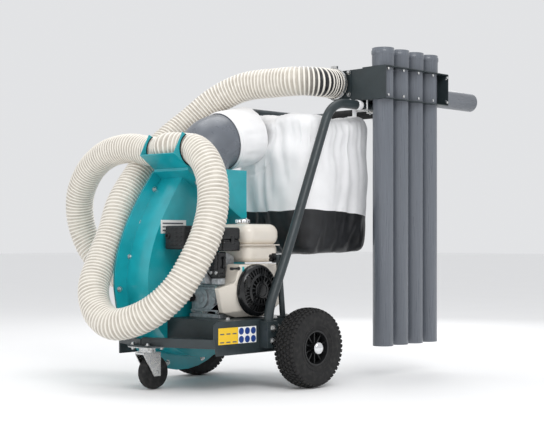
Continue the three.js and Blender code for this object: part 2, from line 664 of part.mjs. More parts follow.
function roundedBox(x0, x1, y0, y1, z0, z1, bevel) {
  const shape = shapeOf([
    [x0 + bevel, y0 + bevel], [x1 - bevel, y0 + bevel], [x1 - bevel, y1 - bevel], [x0 + bevel, y1 - bevel],
  ]);
  const geometry = new THREE.ExtrudeGeometry(shape, {
    depth: z1 - z0 - 2 * bevel, bevelEnabled: true, bevelThickness: bevel, bevelSize: bevel, bevelSegments: 2,
  });
  return solid(geometry.translate(0, 0, z0 + bevel));
}

// Small control levers on pins along X; length runs from the pivot towards the tip.
function lever(x0, x1, y, z, tipY, tipZ, radius) {
  const turn = Math.atan2(tipZ - z, tipY - y);
  const length = Math.hypot(tipY - y, tipZ - z);
  const arm = new THREE.BoxGeometry(3, length, 7).translate(x0 + 1.5, length / 2, 0);
  const knob = new THREE.CylinderGeometry(radius, radius, x1 - x0, 10);
  knob.rotateZ(Math.PI / 2).translate((x0 + x1) / 2, length, 0);
  const placed = (geometry) => solid(geometry.rotateX(turn).translate(0, y, z));
  return join(rod('x', 6, x0, x0 + 3, y, z, 12), placed(arm), placed(knob));
}

function engine() {
  addNode('engine_crankcase', crankcase(), ALUMINIUM);
  addNode('cylinder_head', cylinderHead(), ALUMINIUM);
  addNode('engine_shroud', shroud(), IVORY);
  addNode('crankshaft', crankshaft(), ZINC);
  addNode('flywheel', flywheel(), ALUMINIUM);
  addNode('recoil_cover', recoilCover(), BLACK);
  addNode('recoil_grip', recoilGrip(), BLACK);
  addNode('fuel_tank', fuelTank(), IVORY);
  engineTrim();
  addNode('choke_lever', lever(100 + GAP, 108, -226, 410, -226, 438, 5), BLACK);
  addNode('fuel_lever', lever(100 + GAP, 108, -226, 382, -255, 382, 5), BLACK);
  addNode('throttle_lever', lever(SHROUD_FACE + GAP, 142, -186, 402, -222, 402, 5), BLACK);
}

// ---------------------------------------------------------------- push handle
function handlePath() {
  const c = HANDLE_CORNER;
  const left = (y, z) => new THREE.Vector3(HANDLE_LEFT, y, z);
  const right = (y, z) => new THREE.Vector3(HANDLE_RIGHT, y, z);
  const across = (x) => new THREE.Vector3(x, HANDLE_REAR, HANDLE_Z);
  const path = new THREE.CurvePath();
  const line = (a, b) => path.add(new THREE.LineCurve3(a, b));
  const bend = (a, corner, b) => path.add(new THREE.QuadraticBezierCurve3(a, corner, b));
  line(left(-121, 150), left(-121, 215));
  bend(left(-121, 215), left(-121, 262), left(-98, 306));
  line(left(-98, 306), left(-40, 430));
  bend(left(-40, 430), left(-4, 520), left(18, 585));
  line(left(18, 585), left(165, 915));
  bend(left(165, 915), left(197, HANDLE_Z), left(262, HANDLE_Z));
  line(left(262, HANDLE_Z), left(HANDLE_REAR - c, HANDLE_Z));
  bend(left(HANDLE_REAR - c, HANDLE_Z), left(HANDLE_REAR, HANDLE_Z), across(HANDLE_LEFT - c));
  line(across(HANDLE_LEFT - c), across(HANDLE_RIGHT + c));
  bend(across(HANDLE_RIGHT + c), right(HANDLE_REAR, HANDLE_Z), right(HANDLE_REAR - c, HANDLE_Z));
  line(right(HANDLE_REAR - c, HANDLE_Z), right(262, HANDLE_Z));
  bend(right(262, HANDLE_Z), right(197, HANDLE_Z), right(165, 915));
  line(right(165, 915), right(18, 585));
  line(right(18, 585), right(-44, 424));
  return path;
}

const HANDLE_WALL = 3;

function handleTube() {
  const points = [];
  handlePath().curves.forEach((part) => {
    const steps = part.isLineCurve3 ? 1 : 4;
    part.getPoints(steps).forEach((point) => {
      const last = points[points.length - 1];
      if (!last || last.distanceTo(point) > 1) points.push(point);
    });
  });
  return tubeAlong(points, TUBE_OD / 2, TUBE_OD / 2 - HANDLE_WALL, 12);
}

// Rings of a round section along a polyline in space, turned with the line, one after another.
function sweepRings(points, radius, sides) {
  let normal = new THREE.Vector3(1, 0, 0);
  return points.flatMap((point, i) => {
    const into = point.clone().sub(points[Math.max(i - 1, 0)]).normalize();
    const out = points[Math.min(i + 1, points.length - 1)].clone().sub(point).normalize();
    const along = into.add(out).normalize();
    normal = normal.clone().addScaledVector(along, -normal.dot(along)).normalize();
    const side = new THREE.Vector3().crossVectors(along, normal);
    return [...Array(sides).keys()].map((k) => point.clone()
      .addScaledVector(normal, radius * Math.cos(2 * Math.PI * k / sides))
      .addScaledVector(side, radius * Math.sin(2 * Math.PI * k / sides)));
  });
}

// Round tube with open ends along a polyline in space.
function tubeAlong(points, outer, inner, sides) {
  const vertices = [...sweepRings(points, outer, sides), ...sweepRings(points, inner, sides)];
  const at = (skin, i, k) => (skin * points.length + i) * sides + (k % sides);
  const index = [];
  const quad = (a, b, c, d) => index.push(a, b, c, a, c, d);
  const last = points.length - 1;
  for (let k = 0; k < sides; k += 1) {
    for (let i = 0; i < last; i += 1) {
      quad(at(0, i, k), at(0, i, k + 1), at(0, i + 1, k + 1), at(0, i + 1, k));
      quad(at(1, i, k), at(1, i + 1, k), at(1, i + 1, k + 1), at(1, i, k + 1));
    }
    quad(at(0, 0, k), at(1, 0, k), at(1, 0, k + 1), at(0, 0, k + 1));
    quad(at(0, last, k), at(0, last, k + 1), at(1, last, k + 1), at(1, last, k));
  }
  const geometry = new THREE.BufferGeometry().setFromPoints(vertices);
  geometry.setIndex(index);
  return facingOut(geometry);
}

const BRACE_OD = 20;
const BRACE_X = HANDLE_LEFT - TUBE_OD / 2 - BRACE_OD / 2 - 1;

function handle() {
  addNode('handle_tube', handleTube(), ANTHRACITE);
  addNode('handle_brace', join(
    bar([BRACE_X, -44, 448], [BRACE_X, -22, DECK + 3], BRACE_OD / 2, 14),
    box(BRACE_X - 9, BRACE_X + 6, -42, 0, DECK, DECK + 6)), ANTHRACITE);
  addNode('handle_bracket_left', cut(
    box(CHASSIS_LEFT + GAP, HANDLE_LEFT + TUBE_OD / 2 + 5, -146, -96, 138, 228),
    box(CHASSIS_LEFT - 5, HANDLE_LEFT + TUBE_OD / 2 + GAP, -138.5, -103.5, 146, 240)), ANTHRACITE);
  addNode('handle_bracket_right', box(
    HANDLE_RIGHT + TUBE_OD / 2 + GAP, COVER_OUT - GAP, -66, -14, 418, 474), ANTHRACITE);
  const knobEnd = BRACE_X - BRACE_OD / 2 - GAP;
  addNode('handle_knob', join(
    rod('x', 17, knobEnd - 20, knobEnd - 6, -44, 436, 6), rod('x', 9, knobEnd - 8, knobEnd, -44, 436, 12)), BLACK);
  addNode('handle_grip', ring('x', 21, TUBE_OD / 2 + GAP, -150, 92, HANDLE_REAR, HANDLE_Z, 20), RUBBER);
}

// ---------------------------------------------------------------- filter bag
function bagBody(inset, floor) {
  const b = BAG;
  const outline = new THREE.Shape();
  const r = 70 - inset;
  const [y0, y1, z0, z1] = [b.y0 + inset, b.y1 - inset, b.z0 + inset + floor, b.z1 - inset];
  outline.absarc(y1 - r, z0 + r, r, -Math.PI / 2, 0, false);
  outline.absarc(y1 - r, z1 - r, r, 0, Math.PI / 2, false);
  outline.absarc(y0 + r, z1 - r, r, Math.PI / 2, Math.PI, false);
  outline.absarc(y0 + r, z0 + r, r, Math.PI, 1.5 * Math.PI, false);
  const bevel = 40;
  const geometry = new THREE.ExtrudeGeometry(outline, {
    depth: b.x1 - b.x0 - 2 * inset - 2 * bevel, bevelEnabled: true, bevelThickness: bevel,
    bevelSize: bevel, bevelOffset: -bevel, bevelSegments: 2, curveSegments: 3,
  });
  geometry.applyMatrix4(ALONG.x).translate(b.x0 + inset + bevel, 0, 0);
  return solid(geometry);
}

function filterBag() {
  const { mouth, tail } = elbowPath();
  const along = tail.clone().normalize();
  const at = (distance) => mouth.clone().addScaledVector(along, distance).toArray();
  const inner = ELBOW_OD / 2 + 2;
  const outer = inner + BAG.wall;
  const sleeve = bar(at(14), at(150), outer, 24);
  const bore = bar(at(0), at(160), inner, 24);
  return cut(join(bagBody(0, 0), sleeve), bagBody(BAG.wall, 0), bore);
}

// ---------------------------------------------------------------- pipe rack and pipes
const RACK_BOTTOM = HANDLE_Z + TUBE_OD / 2 + 0.5;
const RACK_TOP = RACK_BOTTOM + RACK.height;
const HOLE_RADIUS = PIPE_OD / 2 + 2;

function pipeY(i) {
  return PIPE_FIRST_Y + i * PIPE_PITCH;
}

const CLAMP_YS = [362, (PIPE_FIRST_Y * 2 + PIPE_PITCH) / 2];
const CLAMP_IN = HANDLE_LEFT - TUBE_OD / 2 - 6;
const CLAMP_OUT = Math.max(HANDLE_LEFT + TUBE_OD / 2 + 6, RACK.x0 + SHEET + 5.5);

function pipeRack() {
  const { x0, x1, y0, y1 } = RACK;
  const lip = CLAMP_IN - 10;
  const wing = new THREE.Shape();
  const r = 34;
  const left = LANCE_X - 56;
  const wingTop = RACK_TOP - 4;
  const wingBottom = RACK_BOTTOM + 8;
  wing.moveTo(x0 + 2, wingBottom);
  wing.lineTo(x0 + 2, wingTop);
  wing.lineTo(left + r, wingTop);
  wing.absarc(left + r, wingTop - r, r, Math.PI / 2, Math.PI, false);
  wing.absarc(left + r, wingBottom + r, r, Math.PI, 1.5 * Math.PI, false);
  const body = join(
    box(x0, x1, y0, y0 + SHEET, RACK_BOTTOM, RACK_TOP),
    box(x0, x1, y1 - SHEET, y1, RACK_BOTTOM, RACK_TOP),
    box(x0, x0 + SHEET, y0, y1, RACK_BOTTOM, RACK_TOP),
    box(lip, x1, y0, y1, RACK_BOTTOM, RACK_BOTTOM + SHEET),
    box(x0, x1, y0, y1, RACK_TOP - SHEET, RACK_TOP),
    box(lip, x0 + 2, y0, y0 + SHEET, RACK_BOTTOM, wingTop - 20),
    plate('y', wing, y0, y0 + SHEET),
    ring('y', PIPE_OD / 2 + 5, PIPE_OD / 2 + 1, y0, y0 + 40, LANCE_X, LANCE_Z, 24));
  const holes = [];
  for (let i = 0; i < PIPE_COUNT; i += 1) {
    holes.push(rod('z', HOLE_RADIUS, RACK_BOTTOM - 5, RACK_TOP + 5, PIPE_X, pipeY(i), 20));
  }
  const bolts = CLAMP_YS.flatMap((y) => [CLAMP_IN, CLAMP_OUT].map(
    (x) => rod('z', 4.5, RACK_BOTTOM - 5, RACK_BOTTOM + 5, x, y, 12)));
  const bore = rod('y', PIPE_OD / 2 + 1, y0 - 5, y0 + 50, LANCE_X, LANCE_Z, 24);
  const rivets = [RACK_BOTTOM + 20, RACK_TOP - 17].map(
    (z) => rod('y', 3, y1 - 10, y1 + 5, x1 - 9, z, 8));
  return cut(body, ...holes, ...bolts, bore, ...rivets);
}

function rackClamp(y) {
  const under = HANDLE_Z - TUBE_OD / 2 - GAP;
  const strap = box(CLAMP_IN - 9, CLAMP_OUT + 9, y - 11, y + 11, under - 5, under);
  const bolts = [CLAMP_IN, CLAMP_OUT].map((x) => rod('z', 4, under - 9, RACK_BOTTOM + 9, x, y, 10));
  return join(strap, ...bolts);
}

function storedPipe(i) {
  const y = pipeY(i);
  const shoulder = RACK_TOP + GAP;
  const top = shoulder + SOCKET_LENGTH;
  const bottom = top - PIPE_LENGTH;
  const r = PIPE_OD / 2;
  const s = SOCKET_OD / 2;
  const b = SOCKET_BEAD_OD / 2;
  const w = PIPE_WALL;
  const profile = [
    [r - w, bottom], [r, bottom], [r, shoulder], [s, shoulder], [s, top - 24], [b, top - 22],
    [b, top - 9], [s, top - 7], [s, top], [s - w, top], [s - w, shoulder + 6], [r - w, shoulder + 4],
    [r - w, bottom],
  ];
  const points = profile.map(([radius, z]) => new THREE.Vector2(radius, z));
  const geometry = new THREE.LatheGeometry(points, 20).rotateX(Math.PI / 2).translate(PIPE_X, y, 0);
  return geometry;
}

const LANCE_START = RACK.y0 + SHEET + 2;

function lance() {
  const r = PIPE_OD / 2;
  return ring('y', r, r - PIPE_WALL, LANCE_START, LANCE_START + LANCE_LENGTH, LANCE_X, LANCE_Z, 28);
}

const FLANGE_FACE = RACK.y0 - GAP - 3;

function hoseFlange() {
  const half = 52;
  const sheet = box(LANCE_X - half, LANCE_X + half + 6, FLANGE_FACE, RACK.y0 - GAP, LANCE_Z - 48, LANCE_Z + 48);
  const bolts = [-46, 49].flatMap((dx) => [-40, 40].map(
    (dz) => rod('y', 6, FLANGE_FACE - 4, FLANGE_FACE + 1, LANCE_X + dx, LANCE_Z + dz, 8)));
  const corners = [-1, 1].map((s) => box(LANCE_X - half - 5, LANCE_X - half + 8,
    FLANGE_FACE - 10, FLANGE_FACE + 20, LANCE_Z + s * 48 - 4, LANCE_Z + s * 48 + 4));
  const bore = rod('y', PIPE_OD / 2 - PIPE_WALL, FLANGE_FACE - 5, RACK.y0 + 5, LANCE_X, LANCE_Z, 24);
  return cut(join(sheet, ...bolts), bore, ...corners);
}

// ---------------------------------------------------------------- suction hose
// Route of the hose axis, from the fan inlet round the right side, over the cradle from right to
// left, down in front of the engine, round under the housing and back over the bag to the flange.
const HOSE_ROUTE = [
  [SPIGOT_END - 1, CRANK_Y, CRANK_Z],
  [-330, -106, 330],
  [-430, -112, 335],
  [-560, -135, 362],
  [-668, -170, 440],
  [-712, -200, 550],
  [-694, -222, 660],
  [-618, -236, 752],
  [-500, -244, 812],
  [-370, -242, 828],
  [-260, CRADLE_Y + 3, 812],
  [-205, CRADLE_Y + 1, CRADLE_Z],
  [-132, CRADLE_Y - 20, CRADLE_Z + 9],
  [-64, CRADLE_Y - 1, CRADLE_Z + 4],
  [-22, CRADLE_Y - 1, CRADLE_Z - 4],
  [38, -252, 766],
  [88, -268, 700],
  [116, -290, 610],
  [126, -326, 520],
  [118, -372, 430],
  [88, -420, 340],
  [34, -468, 272],
  [-40, -505, 232],
  [-114, -526, 222],
  [-192, -524, 258],
  [-250, -500, 330],
  [-284, -442, 420],
  [-302, -378, 520],
  [-322, -325, 620],
  [-338, -245, 715],
  [-352, -160, 795],
  [-345, -80, 868],
  [-306, -10, 935],
  [-236, 50, 1010],
  [-138, 100, 1058],
  [-20, 145, 1068],
  [70, 182, 1070],
  [114, 236, LANCE_Z],
  [LANCE_X, 285, LANCE_Z],
  [LANCE_X, 320, LANCE_Z],
  [LANCE_X, FLANGE_FACE - 1, LANCE_Z],
];

const HOSE_WALL = 2.5;
const HOSE_STEPS = 52;

function hoseCurve() {
  return new THREE.CatmullRomCurve3(HOSE_ROUTE.map((point) => new THREE.Vector3(...point)));
}

function suctionHose() {
  const points = hoseCurve().getSpacedPoints(HOSE_STEPS);
  return tubeAlong(points, HOSE_OD / 2, HOSE_OD / 2 - HOSE_WALL, 8);
}

function hoseClamps() {
  const inner = HOSE_OD / 2 + 2.5;
  const outer = inner + 2;
  const screwZ = LANCE_Z + outer + 3;
  addNode('hose_clamp_rear', join(
    ring('y', outer, inner, 312, 324, LANCE_X, LANCE_Z, 28),
    box(LANCE_X - 14, LANCE_X + 14, 313, 323, screwZ - 5, screwZ + 6)), ZINC);
  addNode('hose_clamp_front', join(
    ring('x', outer, inner, -292, -280, CRANK_Y, CRANK_Z, 28),
    box(-291, -281, CRANK_Y - 12, CRANK_Y + 12, CRANK_Z + outer - 2, CRANK_Z + outer + 8)), ZINC);
}

// ---------------------------------------------------------------- assembly
addNode('chassis_frame', chassisFrame(), ANTHRACITE);
axles();
wheel('left', 1);
wheel('right', -1);
caster();

addNode('fan_housing', fanHousing(), TEAL);
addNode('housing_gasket', housingGasket(), RUBBER);
addNode('housing_cover', housingCover(), TEAL);
addNode('inlet_spigot', inletSpigot(), TEAL);
addNode('impeller', impeller(), ANTHRACITE);
addNode('outlet_hood', outletHood(), TEAL);
addNode('outlet_elbow', outletElbow(), GREY_PVC);
addNode('hose_cradle', hoseCradle(), TEAL);
addNode('cradle_trim_right', cradleTrim(EAR_RIGHT), RUBBER);
addNode('cradle_trim_left', cradleTrim(EAR_LEFT), RUBBER);

engine();
handle();

addNode('filter_bag', filterBag(), CLOTH);

addNode('pipe_rack', pipeRack(), ANTHRACITE);
CLAMP_YS.forEach((y, i) => addNode(`rack_clamp_${i + 1}`, rackClamp(y), ZINC));
for (let i = 0; i < PIPE_COUNT; i += 1) {
  addNode(`stored_pipe_${i + 1}`, storedPipe(i), GREY_PVC);
}
addNode('suction_pipe', lance(), GREY_PVC);
addNode('hose_flange', hoseFlange(), ANTHRACITE);
addNode('suction_hose', suctionHose(), HOSE);
hoseClamps();

// The origin goes to the middle of the underside of everything but the loose hose and its clamps.
const rigid = new THREE.Box3();
machine.children.filter((mesh) => !mesh.name.startsWith('suction_hose') && !mesh.name.startsWith('hose_clamp'))
  .forEach((mesh) => rigid.expandByObject(mesh, true));
machine.position.set(-(rigid.min.x + rigid.max.x) / 2, -(rigid.min.y + rigid.max.y) / 2, -rigid.min.z);

export default machine;
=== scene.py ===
"""Walk-behind leaf vacuum with an engine-driven shredding fan, dressed for close views.

Lengths in this file are millimetres measured from the floor point midway between the two big
wheels, with +X to the engine side, +Y to the operator and +Z up. place() turns them into metres
in the frame's own axes.
"""

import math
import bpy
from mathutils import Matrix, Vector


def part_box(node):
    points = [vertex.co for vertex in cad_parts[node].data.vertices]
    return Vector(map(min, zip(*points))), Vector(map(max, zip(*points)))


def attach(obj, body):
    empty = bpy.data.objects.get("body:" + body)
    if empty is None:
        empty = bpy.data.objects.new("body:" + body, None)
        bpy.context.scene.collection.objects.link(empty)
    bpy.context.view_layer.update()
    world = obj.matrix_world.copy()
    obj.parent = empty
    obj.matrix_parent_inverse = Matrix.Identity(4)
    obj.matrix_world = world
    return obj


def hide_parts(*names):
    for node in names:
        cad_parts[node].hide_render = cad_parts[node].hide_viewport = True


bl_info = {
    "name": "Leaf vacuum mulcher",
    "version": (1, 0, 0),
    "blender": (4, 5, 0),
    "location": "3D Viewport > Sidebar > Leaf Vacuum",
    "description": "Builds the visible surfaces of a walk-behind leaf vacuum around its frame",
    "category": "Object",
}

import bmesh
import bpy
from mathutils import Matrix, Vector, noise

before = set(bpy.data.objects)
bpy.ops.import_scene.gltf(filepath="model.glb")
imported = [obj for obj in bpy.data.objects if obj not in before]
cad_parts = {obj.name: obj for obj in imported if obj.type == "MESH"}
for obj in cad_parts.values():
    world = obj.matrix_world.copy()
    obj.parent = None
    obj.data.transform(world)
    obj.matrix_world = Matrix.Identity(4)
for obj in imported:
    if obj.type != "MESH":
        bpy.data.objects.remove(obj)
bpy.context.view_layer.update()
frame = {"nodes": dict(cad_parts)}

MM = 0.001
X_AXIS = Vector((1, 0, 0))
Y_AXIS = Vector((0, 1, 0))
Z_AXIS = Vector((0, 0, 1))


def middle(node):
    """Centre of a node's box, in metres."""
    low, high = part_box(node)
    return (low + high) / 2


ORIGIN = Vector((
    (middle("tyre_left").x + middle("tyre_right").x) / 2,
    middle("tyre_left").y,
    0,
))


def place(x, y, z):
    """Point of the frame, in metres, from millimetres off the middle of the wheel axle's floor point."""
    return ORIGIN + Vector((x, y, z)) * MM


def span(node):
    """Lowest and highest corner of a node's box in this file's millimetres."""
    low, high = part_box(node)
    return (low - ORIGIN) / MM, (high - ORIGIN) / MM


# ---------------------------------------------------------------- sizes and colours to play with
class LeafVacuumSizes(bpy.types.PropertyGroup):
    """Sizes that change how the machine looks without moving any piece."""

    rib_pitch: bpy.props.FloatProperty(
        name="Hose rib pitch", description="Distance from one hose rib to the next",
        default=13.2 * MM, min=0.006, max=0.03, unit="LENGTH")
    rib_height: bpy.props.FloatProperty(
        name="Hose rib height", description="How far a rib stands above the hose wall",
        default=2.6 * MM, min=0.0005, max=0.006, unit="LENGTH")
    lug_depth: bpy.props.FloatProperty(
        name="Tread depth", description="Height of the tyre's tread blocks",
        default=4.5 * MM, min=0.001, max=0.012, unit="LENGTH")
    bag_slack: bpy.props.FloatProperty(
        name="Bag slack", description="How much larger the bag's cloth is cut than the space it fills",
        default=0.05, min=0.0, max=0.15, subtype="FACTOR")
    edge_break: bpy.props.FloatProperty(
        name="Edge break", description="Width of the small bevel on folded sheet and castings",
        default=0.9 * MM, min=0.0001, max=0.003, unit="LENGTH")


def colour_property(label, text, shade):
    """A colour to choose, with an sRGB hex default."""
    return bpy.props.FloatVectorProperty(
        name=label, description=text, subtype="COLOR", size=3, min=0.0, max=1.0,
        default=linear(shade)[:3])


def linear(shade):
    """Linear RGBA from an sRGB hex colour such as #1FA3AE."""
    values = [int(shade[i:i + 2], 16) / 255 for i in (1, 3, 5)]
    return [v / 12.92 if v <= 0.04045 else ((v + 0.055) / 1.055) ** 2.4 for v in values] + [1.0]


class LeafVacuumColours(bpy.types.PropertyGroup):
    """Main colours of the machine."""

    housing: colour_property("Fan housing", "Enamel of the fan housing and its cradle", "#15A0AB")
    frame: colour_property("Frame", "Powder coat of the chassis, handle and rack", "#2C3538")
    engine: colour_property("Engine covers", "Paint of the fan shroud and fuel tank", "#EAE2D6")
    pipes: colour_property("Pipes", "Plastic of the pipes and the outlet elbow", "#666B73")
    hose: colour_property("Hose", "Plastic of the hose's ribs", "#EFEAE0")
    bag: colour_property("Bag", "Upper cloth of the filter bag", "#F4F4F5")
    base: colour_property("Bag base", "Coated cloth under the filter bag", "#1B1C1F")


def sizes():
    """The machine's sizes as set in the scene."""
    return bpy.context.scene.leaf_vacuum_sizes


def chosen(name):
    """A colour chosen in the scene, as linear RGBA."""
    return list(getattr(bpy.context.scene.leaf_vacuum_colours, name)) + [1.0]


# ---------------------------------------------------------------- materials
def add_node(tree, kind, inputs=None, **settings):
    """Adds a shader node with its settings; inputs maps a socket's name or number to a value or link."""
    node = tree.nodes.new("ShaderNode" + kind)
    for key, value in settings.items():
        setattr(node, key, value)
    for key, value in (inputs or {}).items():
        if isinstance(value, bpy.types.NodeSocket):
            tree.links.new(value, node.inputs[key])
        else:
            node.inputs[key].default_value = value
    return node


def start_material(name, roughness, metallic=0.0, **sockets):
    """A material with one Principled shader; returns it with its tree and shader."""
    made = bpy.data.materials.new(name)
    made.use_nodes = True
    shader = made.node_tree.nodes["Principled BSDF"]
    shader.inputs["Roughness"].default_value = roughness
    shader.inputs["Metallic"].default_value = metallic
    for key, value in sockets.items():
        shader.inputs[key.replace("_", " ")].default_value = value
    return made, made.node_tree, shader


def grain(tree, size, stretch=(1, 1, 1), detail=2.0):
    """Noise whose blotches are about size millimetres across, stretched along the axes."""
    place_in = add_node(tree, "TexCoord")
    scaled = add_node(tree, "Mapping", {
        "Vector": place_in.outputs["Object"], "Scale": [s / (size * MM) for s in stretch]})
    spots = add_node(tree, "TexNoise", {"Vector": scaled.outputs[0], "Scale": 1.0, "Detail": detail})
    return spots.outputs["Fac"]


def blend_colours(tree, factor, first, second):
    """Mixes two colours by a factor and returns the result."""
    mix = add_node(tree, "Mix", {"Factor": factor}, data_type="RGBA")
    for number, value in ((6, first), (7, second)):
        if isinstance(value, bpy.types.NodeSocket):
            tree.links.new(value, mix.inputs[number])
        else:
            mix.inputs[number].default_value = value
    return mix.outputs[2]


def widen(tree, value, low, high, new_low, new_high):
    """Maps a value from one range to another and keeps it inside."""
    mapped = add_node(tree, "MapRange", {
        "Value": value, "From Min": low, "From Max": high, "To Min": new_low, "To Max": new_high})
    return mapped.outputs["Result"]


def raise_surface(tree, shader, height, depth, strength=1.0):
    """Bump from a height, whose full range is depth millimetres."""
    bump = add_node(tree, "Bump", {"Height": height, "Distance": depth * MM, "Strength": strength})
    tree.links.new(bump.outputs[0], shader.inputs["Normal"])


def shaded(colour, amount):
    """A linear colour made darker, below 1, or lighter, above 1."""
    return [min(1.0, c * amount) for c in colour[:3]] + [1.0]


def gloss_enamel():
    """Wet-sprayed enamel on sheet steel: smooth and glossy, with faint orange peel."""
    made, tree, shader = start_material("gloss_enamel", 0.28, Coat_Weight=0.35, Coat_Roughness=0.12)
    colour = chosen("housing")
    cloudy = widen(tree, grain(tree, 60), 0.35, 0.65, 0, 1)
    tree.links.new(blend_colours(tree, cloudy, shaded(colour, 0.9), shaded(colour, 1.06)),
                   shader.inputs["Base Color"])
    raise_surface(tree, shader, grain(tree, 3.5), 0.06, 0.5)
    return made


def powder_coat():
    """Dark powder coat on steel: even colour with a fine pebbled skin and a soft shine."""
    made, tree, shader = start_material("powder_coat", 0.38)
    colour = chosen("frame")
    cloudy = widen(tree, grain(tree, 45), 0.3, 0.7, 0, 1)
    tree.links.new(blend_colours(tree, cloudy, shaded(colour, 0.82), shaded(colour, 1.15)),
                   shader.inputs["Base Color"])
    tree.links.new(widen(tree, grain(tree, 20), 0.3, 0.7, 0.32, 0.46), shader.inputs["Roughness"])
    raise_surface(tree, shader, grain(tree, 1.6), 0.08, 0.6)
    return made


def engine_paint():
    """Baked gloss paint on the engine's pressed covers: warm ivory, smooth, faintly rippled."""
    made, tree, shader = start_material("engine_paint", 0.24, Coat_Weight=0.3, Coat_Roughness=0.1)
    colour = chosen("engine")
    cloudy = widen(tree, grain(tree, 70), 0.35, 0.65, 0, 1)
    tree.links.new(blend_colours(tree, cloudy, shaded(colour, 0.94), colour), shader.inputs["Base Color"])
    raise_surface(tree, shader, grain(tree, 9), 0.08, 0.4)
    return made


def extruded_pvc(name, stretch, depth=0.05):
    """Rigid grey pipe plastic: extruded, so faint streaks run along it, with a satin shine."""
    made, tree, shader = start_material(name, 0.3, Coat_Weight=0.15, Coat_Roughness=0.2)
    colour = chosen("pipes")
    streaks = widen(tree, grain(tree, 5, stretch, 3.0), 0.3, 0.7, 0, 1)
    tree.links.new(blend_colours(tree, streaks, shaded(colour, 0.92), shaded(colour, 1.06)),
                   shader.inputs["Base Color"])
    tree.links.new(widen(tree, grain(tree, 4, stretch), 0.3, 0.7, 0.24, 0.4), shader.inputs["Roughness"])
    raise_surface(tree, shader, grain(tree, 3, stretch), depth, 0.5)
    return made


def moulded_black(name, roughness, size, depth):
    """Black filled nylon or ABS with the fine spark texture of its mould; size is the texture's grit."""
    made, tree, shader = start_material(name, roughness)
    cloudy = widen(tree, grain(tree, 25), 0.3, 0.7, 0, 1)
    tree.links.new(blend_colours(tree, cloudy, linear("#0E0F10"), linear("#1B1C1E")),
                   shader.inputs["Base Color"])
    raise_surface(tree, shader, grain(tree, size), depth, 0.7)
    return made


def vulcanised_rubber(name, shade):
    """Vulcanised rubber: matt, dusty in patches, with a grain of about a millimetre."""
    made, tree, shader = start_material(name, 0.82)
    dusty = widen(tree, grain(tree, 16, detail=4.0), 0.45, 0.75, 0, 1)
    tree.links.new(blend_colours(tree, dusty, linear(shade), linear("#2B2A29")),
                   shader.inputs["Base Color"])
    raise_surface(tree, shader, grain(tree, 1.2), 0.15, 0.8)
    return made


def cast_aluminium():
    """Pressure-cast aluminium, bead blasted: grey, rough and slightly uneven."""
    made, tree, shader = start_material("cast_aluminium", 0.45, 0.55)
    cloudy = widen(tree, grain(tree, 12, detail=4.0), 0.35, 0.65, 0, 1)
    tree.links.new(blend_colours(tree, cloudy, linear("#9A9EA2"), linear("#BCC0C3")),
                   shader.inputs["Base Color"])
    raise_surface(tree, shader, grain(tree, 1.4), 0.25, 0.7)
    return made


def zinc_plate():
    """Bright zinc on pressed steel: metallic, with a faint spangle and yellow-blue tint."""
    made, tree, shader = start_material("zinc_plate", 0.3, 1.0)
    spangle = widen(tree, grain(tree, 5, detail=3.0), 0.3, 0.7, 0, 1)
    tree.links.new(blend_colours(tree, spangle, linear("#B4B8BE"), linear("#E2E0DA")),
                   shader.inputs["Base Color"])
    tree.links.new(widen(tree, grain(tree, 8), 0.3, 0.7, 0.22, 0.42), shader.inputs["Roughness"])
    return made


def bright_chrome():
    """Polished chromium plate over steel: a clear mirror, slightly wavy."""
    made, tree, shader = start_material("bright_chrome", 0.09, 1.0)
    tree.links.new(blend_colours(tree, grain(tree, 8), linear("#D4D6D9"), linear("#F2F2F2")),
                   shader.inputs["Base Color"])
    raise_surface(tree, shader, grain(tree, 6), 0.04, 0.4)
    return made


METRE_WAVE = 0.314  # at this scale a wave texture repeats once a metre


def woven(tree, pitch):
    """Plain weave read from the piece's UV map, which is in metres; pitch is the thread spacing."""
    flat = add_node(tree, "UVMap", uv_map="UVMap")
    waves = []
    for direction in ("X", "Y"):
        wave = add_node(tree, "TexWave", {
            "Vector": flat.outputs[0], "Scale": METRE_WAVE / (pitch * MM), "Distortion": 0.6,
            "Detail": 1.0}, bands_direction=direction)
        waves.append(wave.outputs["Fac"])
    return add_node(tree, "Math", {0: waves[0], 1: waves[1]}, operation="ADD").outputs[0]


def filter_cloth():
    """Spun polyester filter cloth: white, dull, with a plain weave drawn at 2 mm so that it shows."""
    made, tree, shader = start_material("filter_cloth", 0.88, Sheen_Weight=0.25)
    colour = chosen("bag")
    soiled = widen(tree, grain(tree, 120, detail=4.0), 0.4, 0.75, 0, 1)
    tree.links.new(blend_colours(tree, soiled, colour, shaded(colour, 0.88)), shader.inputs["Base Color"])
    raise_surface(tree, shader, woven(tree, 2.0), 0.12, 0.35)
    return made


def coated_cloth():
    """Coated nylon under the bag: black, tight weave, with the dull shine of its coating."""
    made, tree, shader = start_material("coated_cloth", 0.5)
    colour = chosen("base")
    cloudy = widen(tree, grain(tree, 40, detail=3.0), 0.35, 0.7, 0, 1)
    tree.links.new(blend_colours(tree, cloudy, shaded(colour, 0.7), shaded(colour, 1.4)),
                   shader.inputs["Base Color"])
    raise_surface(tree, shader, woven(tree, 1.6), 0.1, 0.5)
    return made


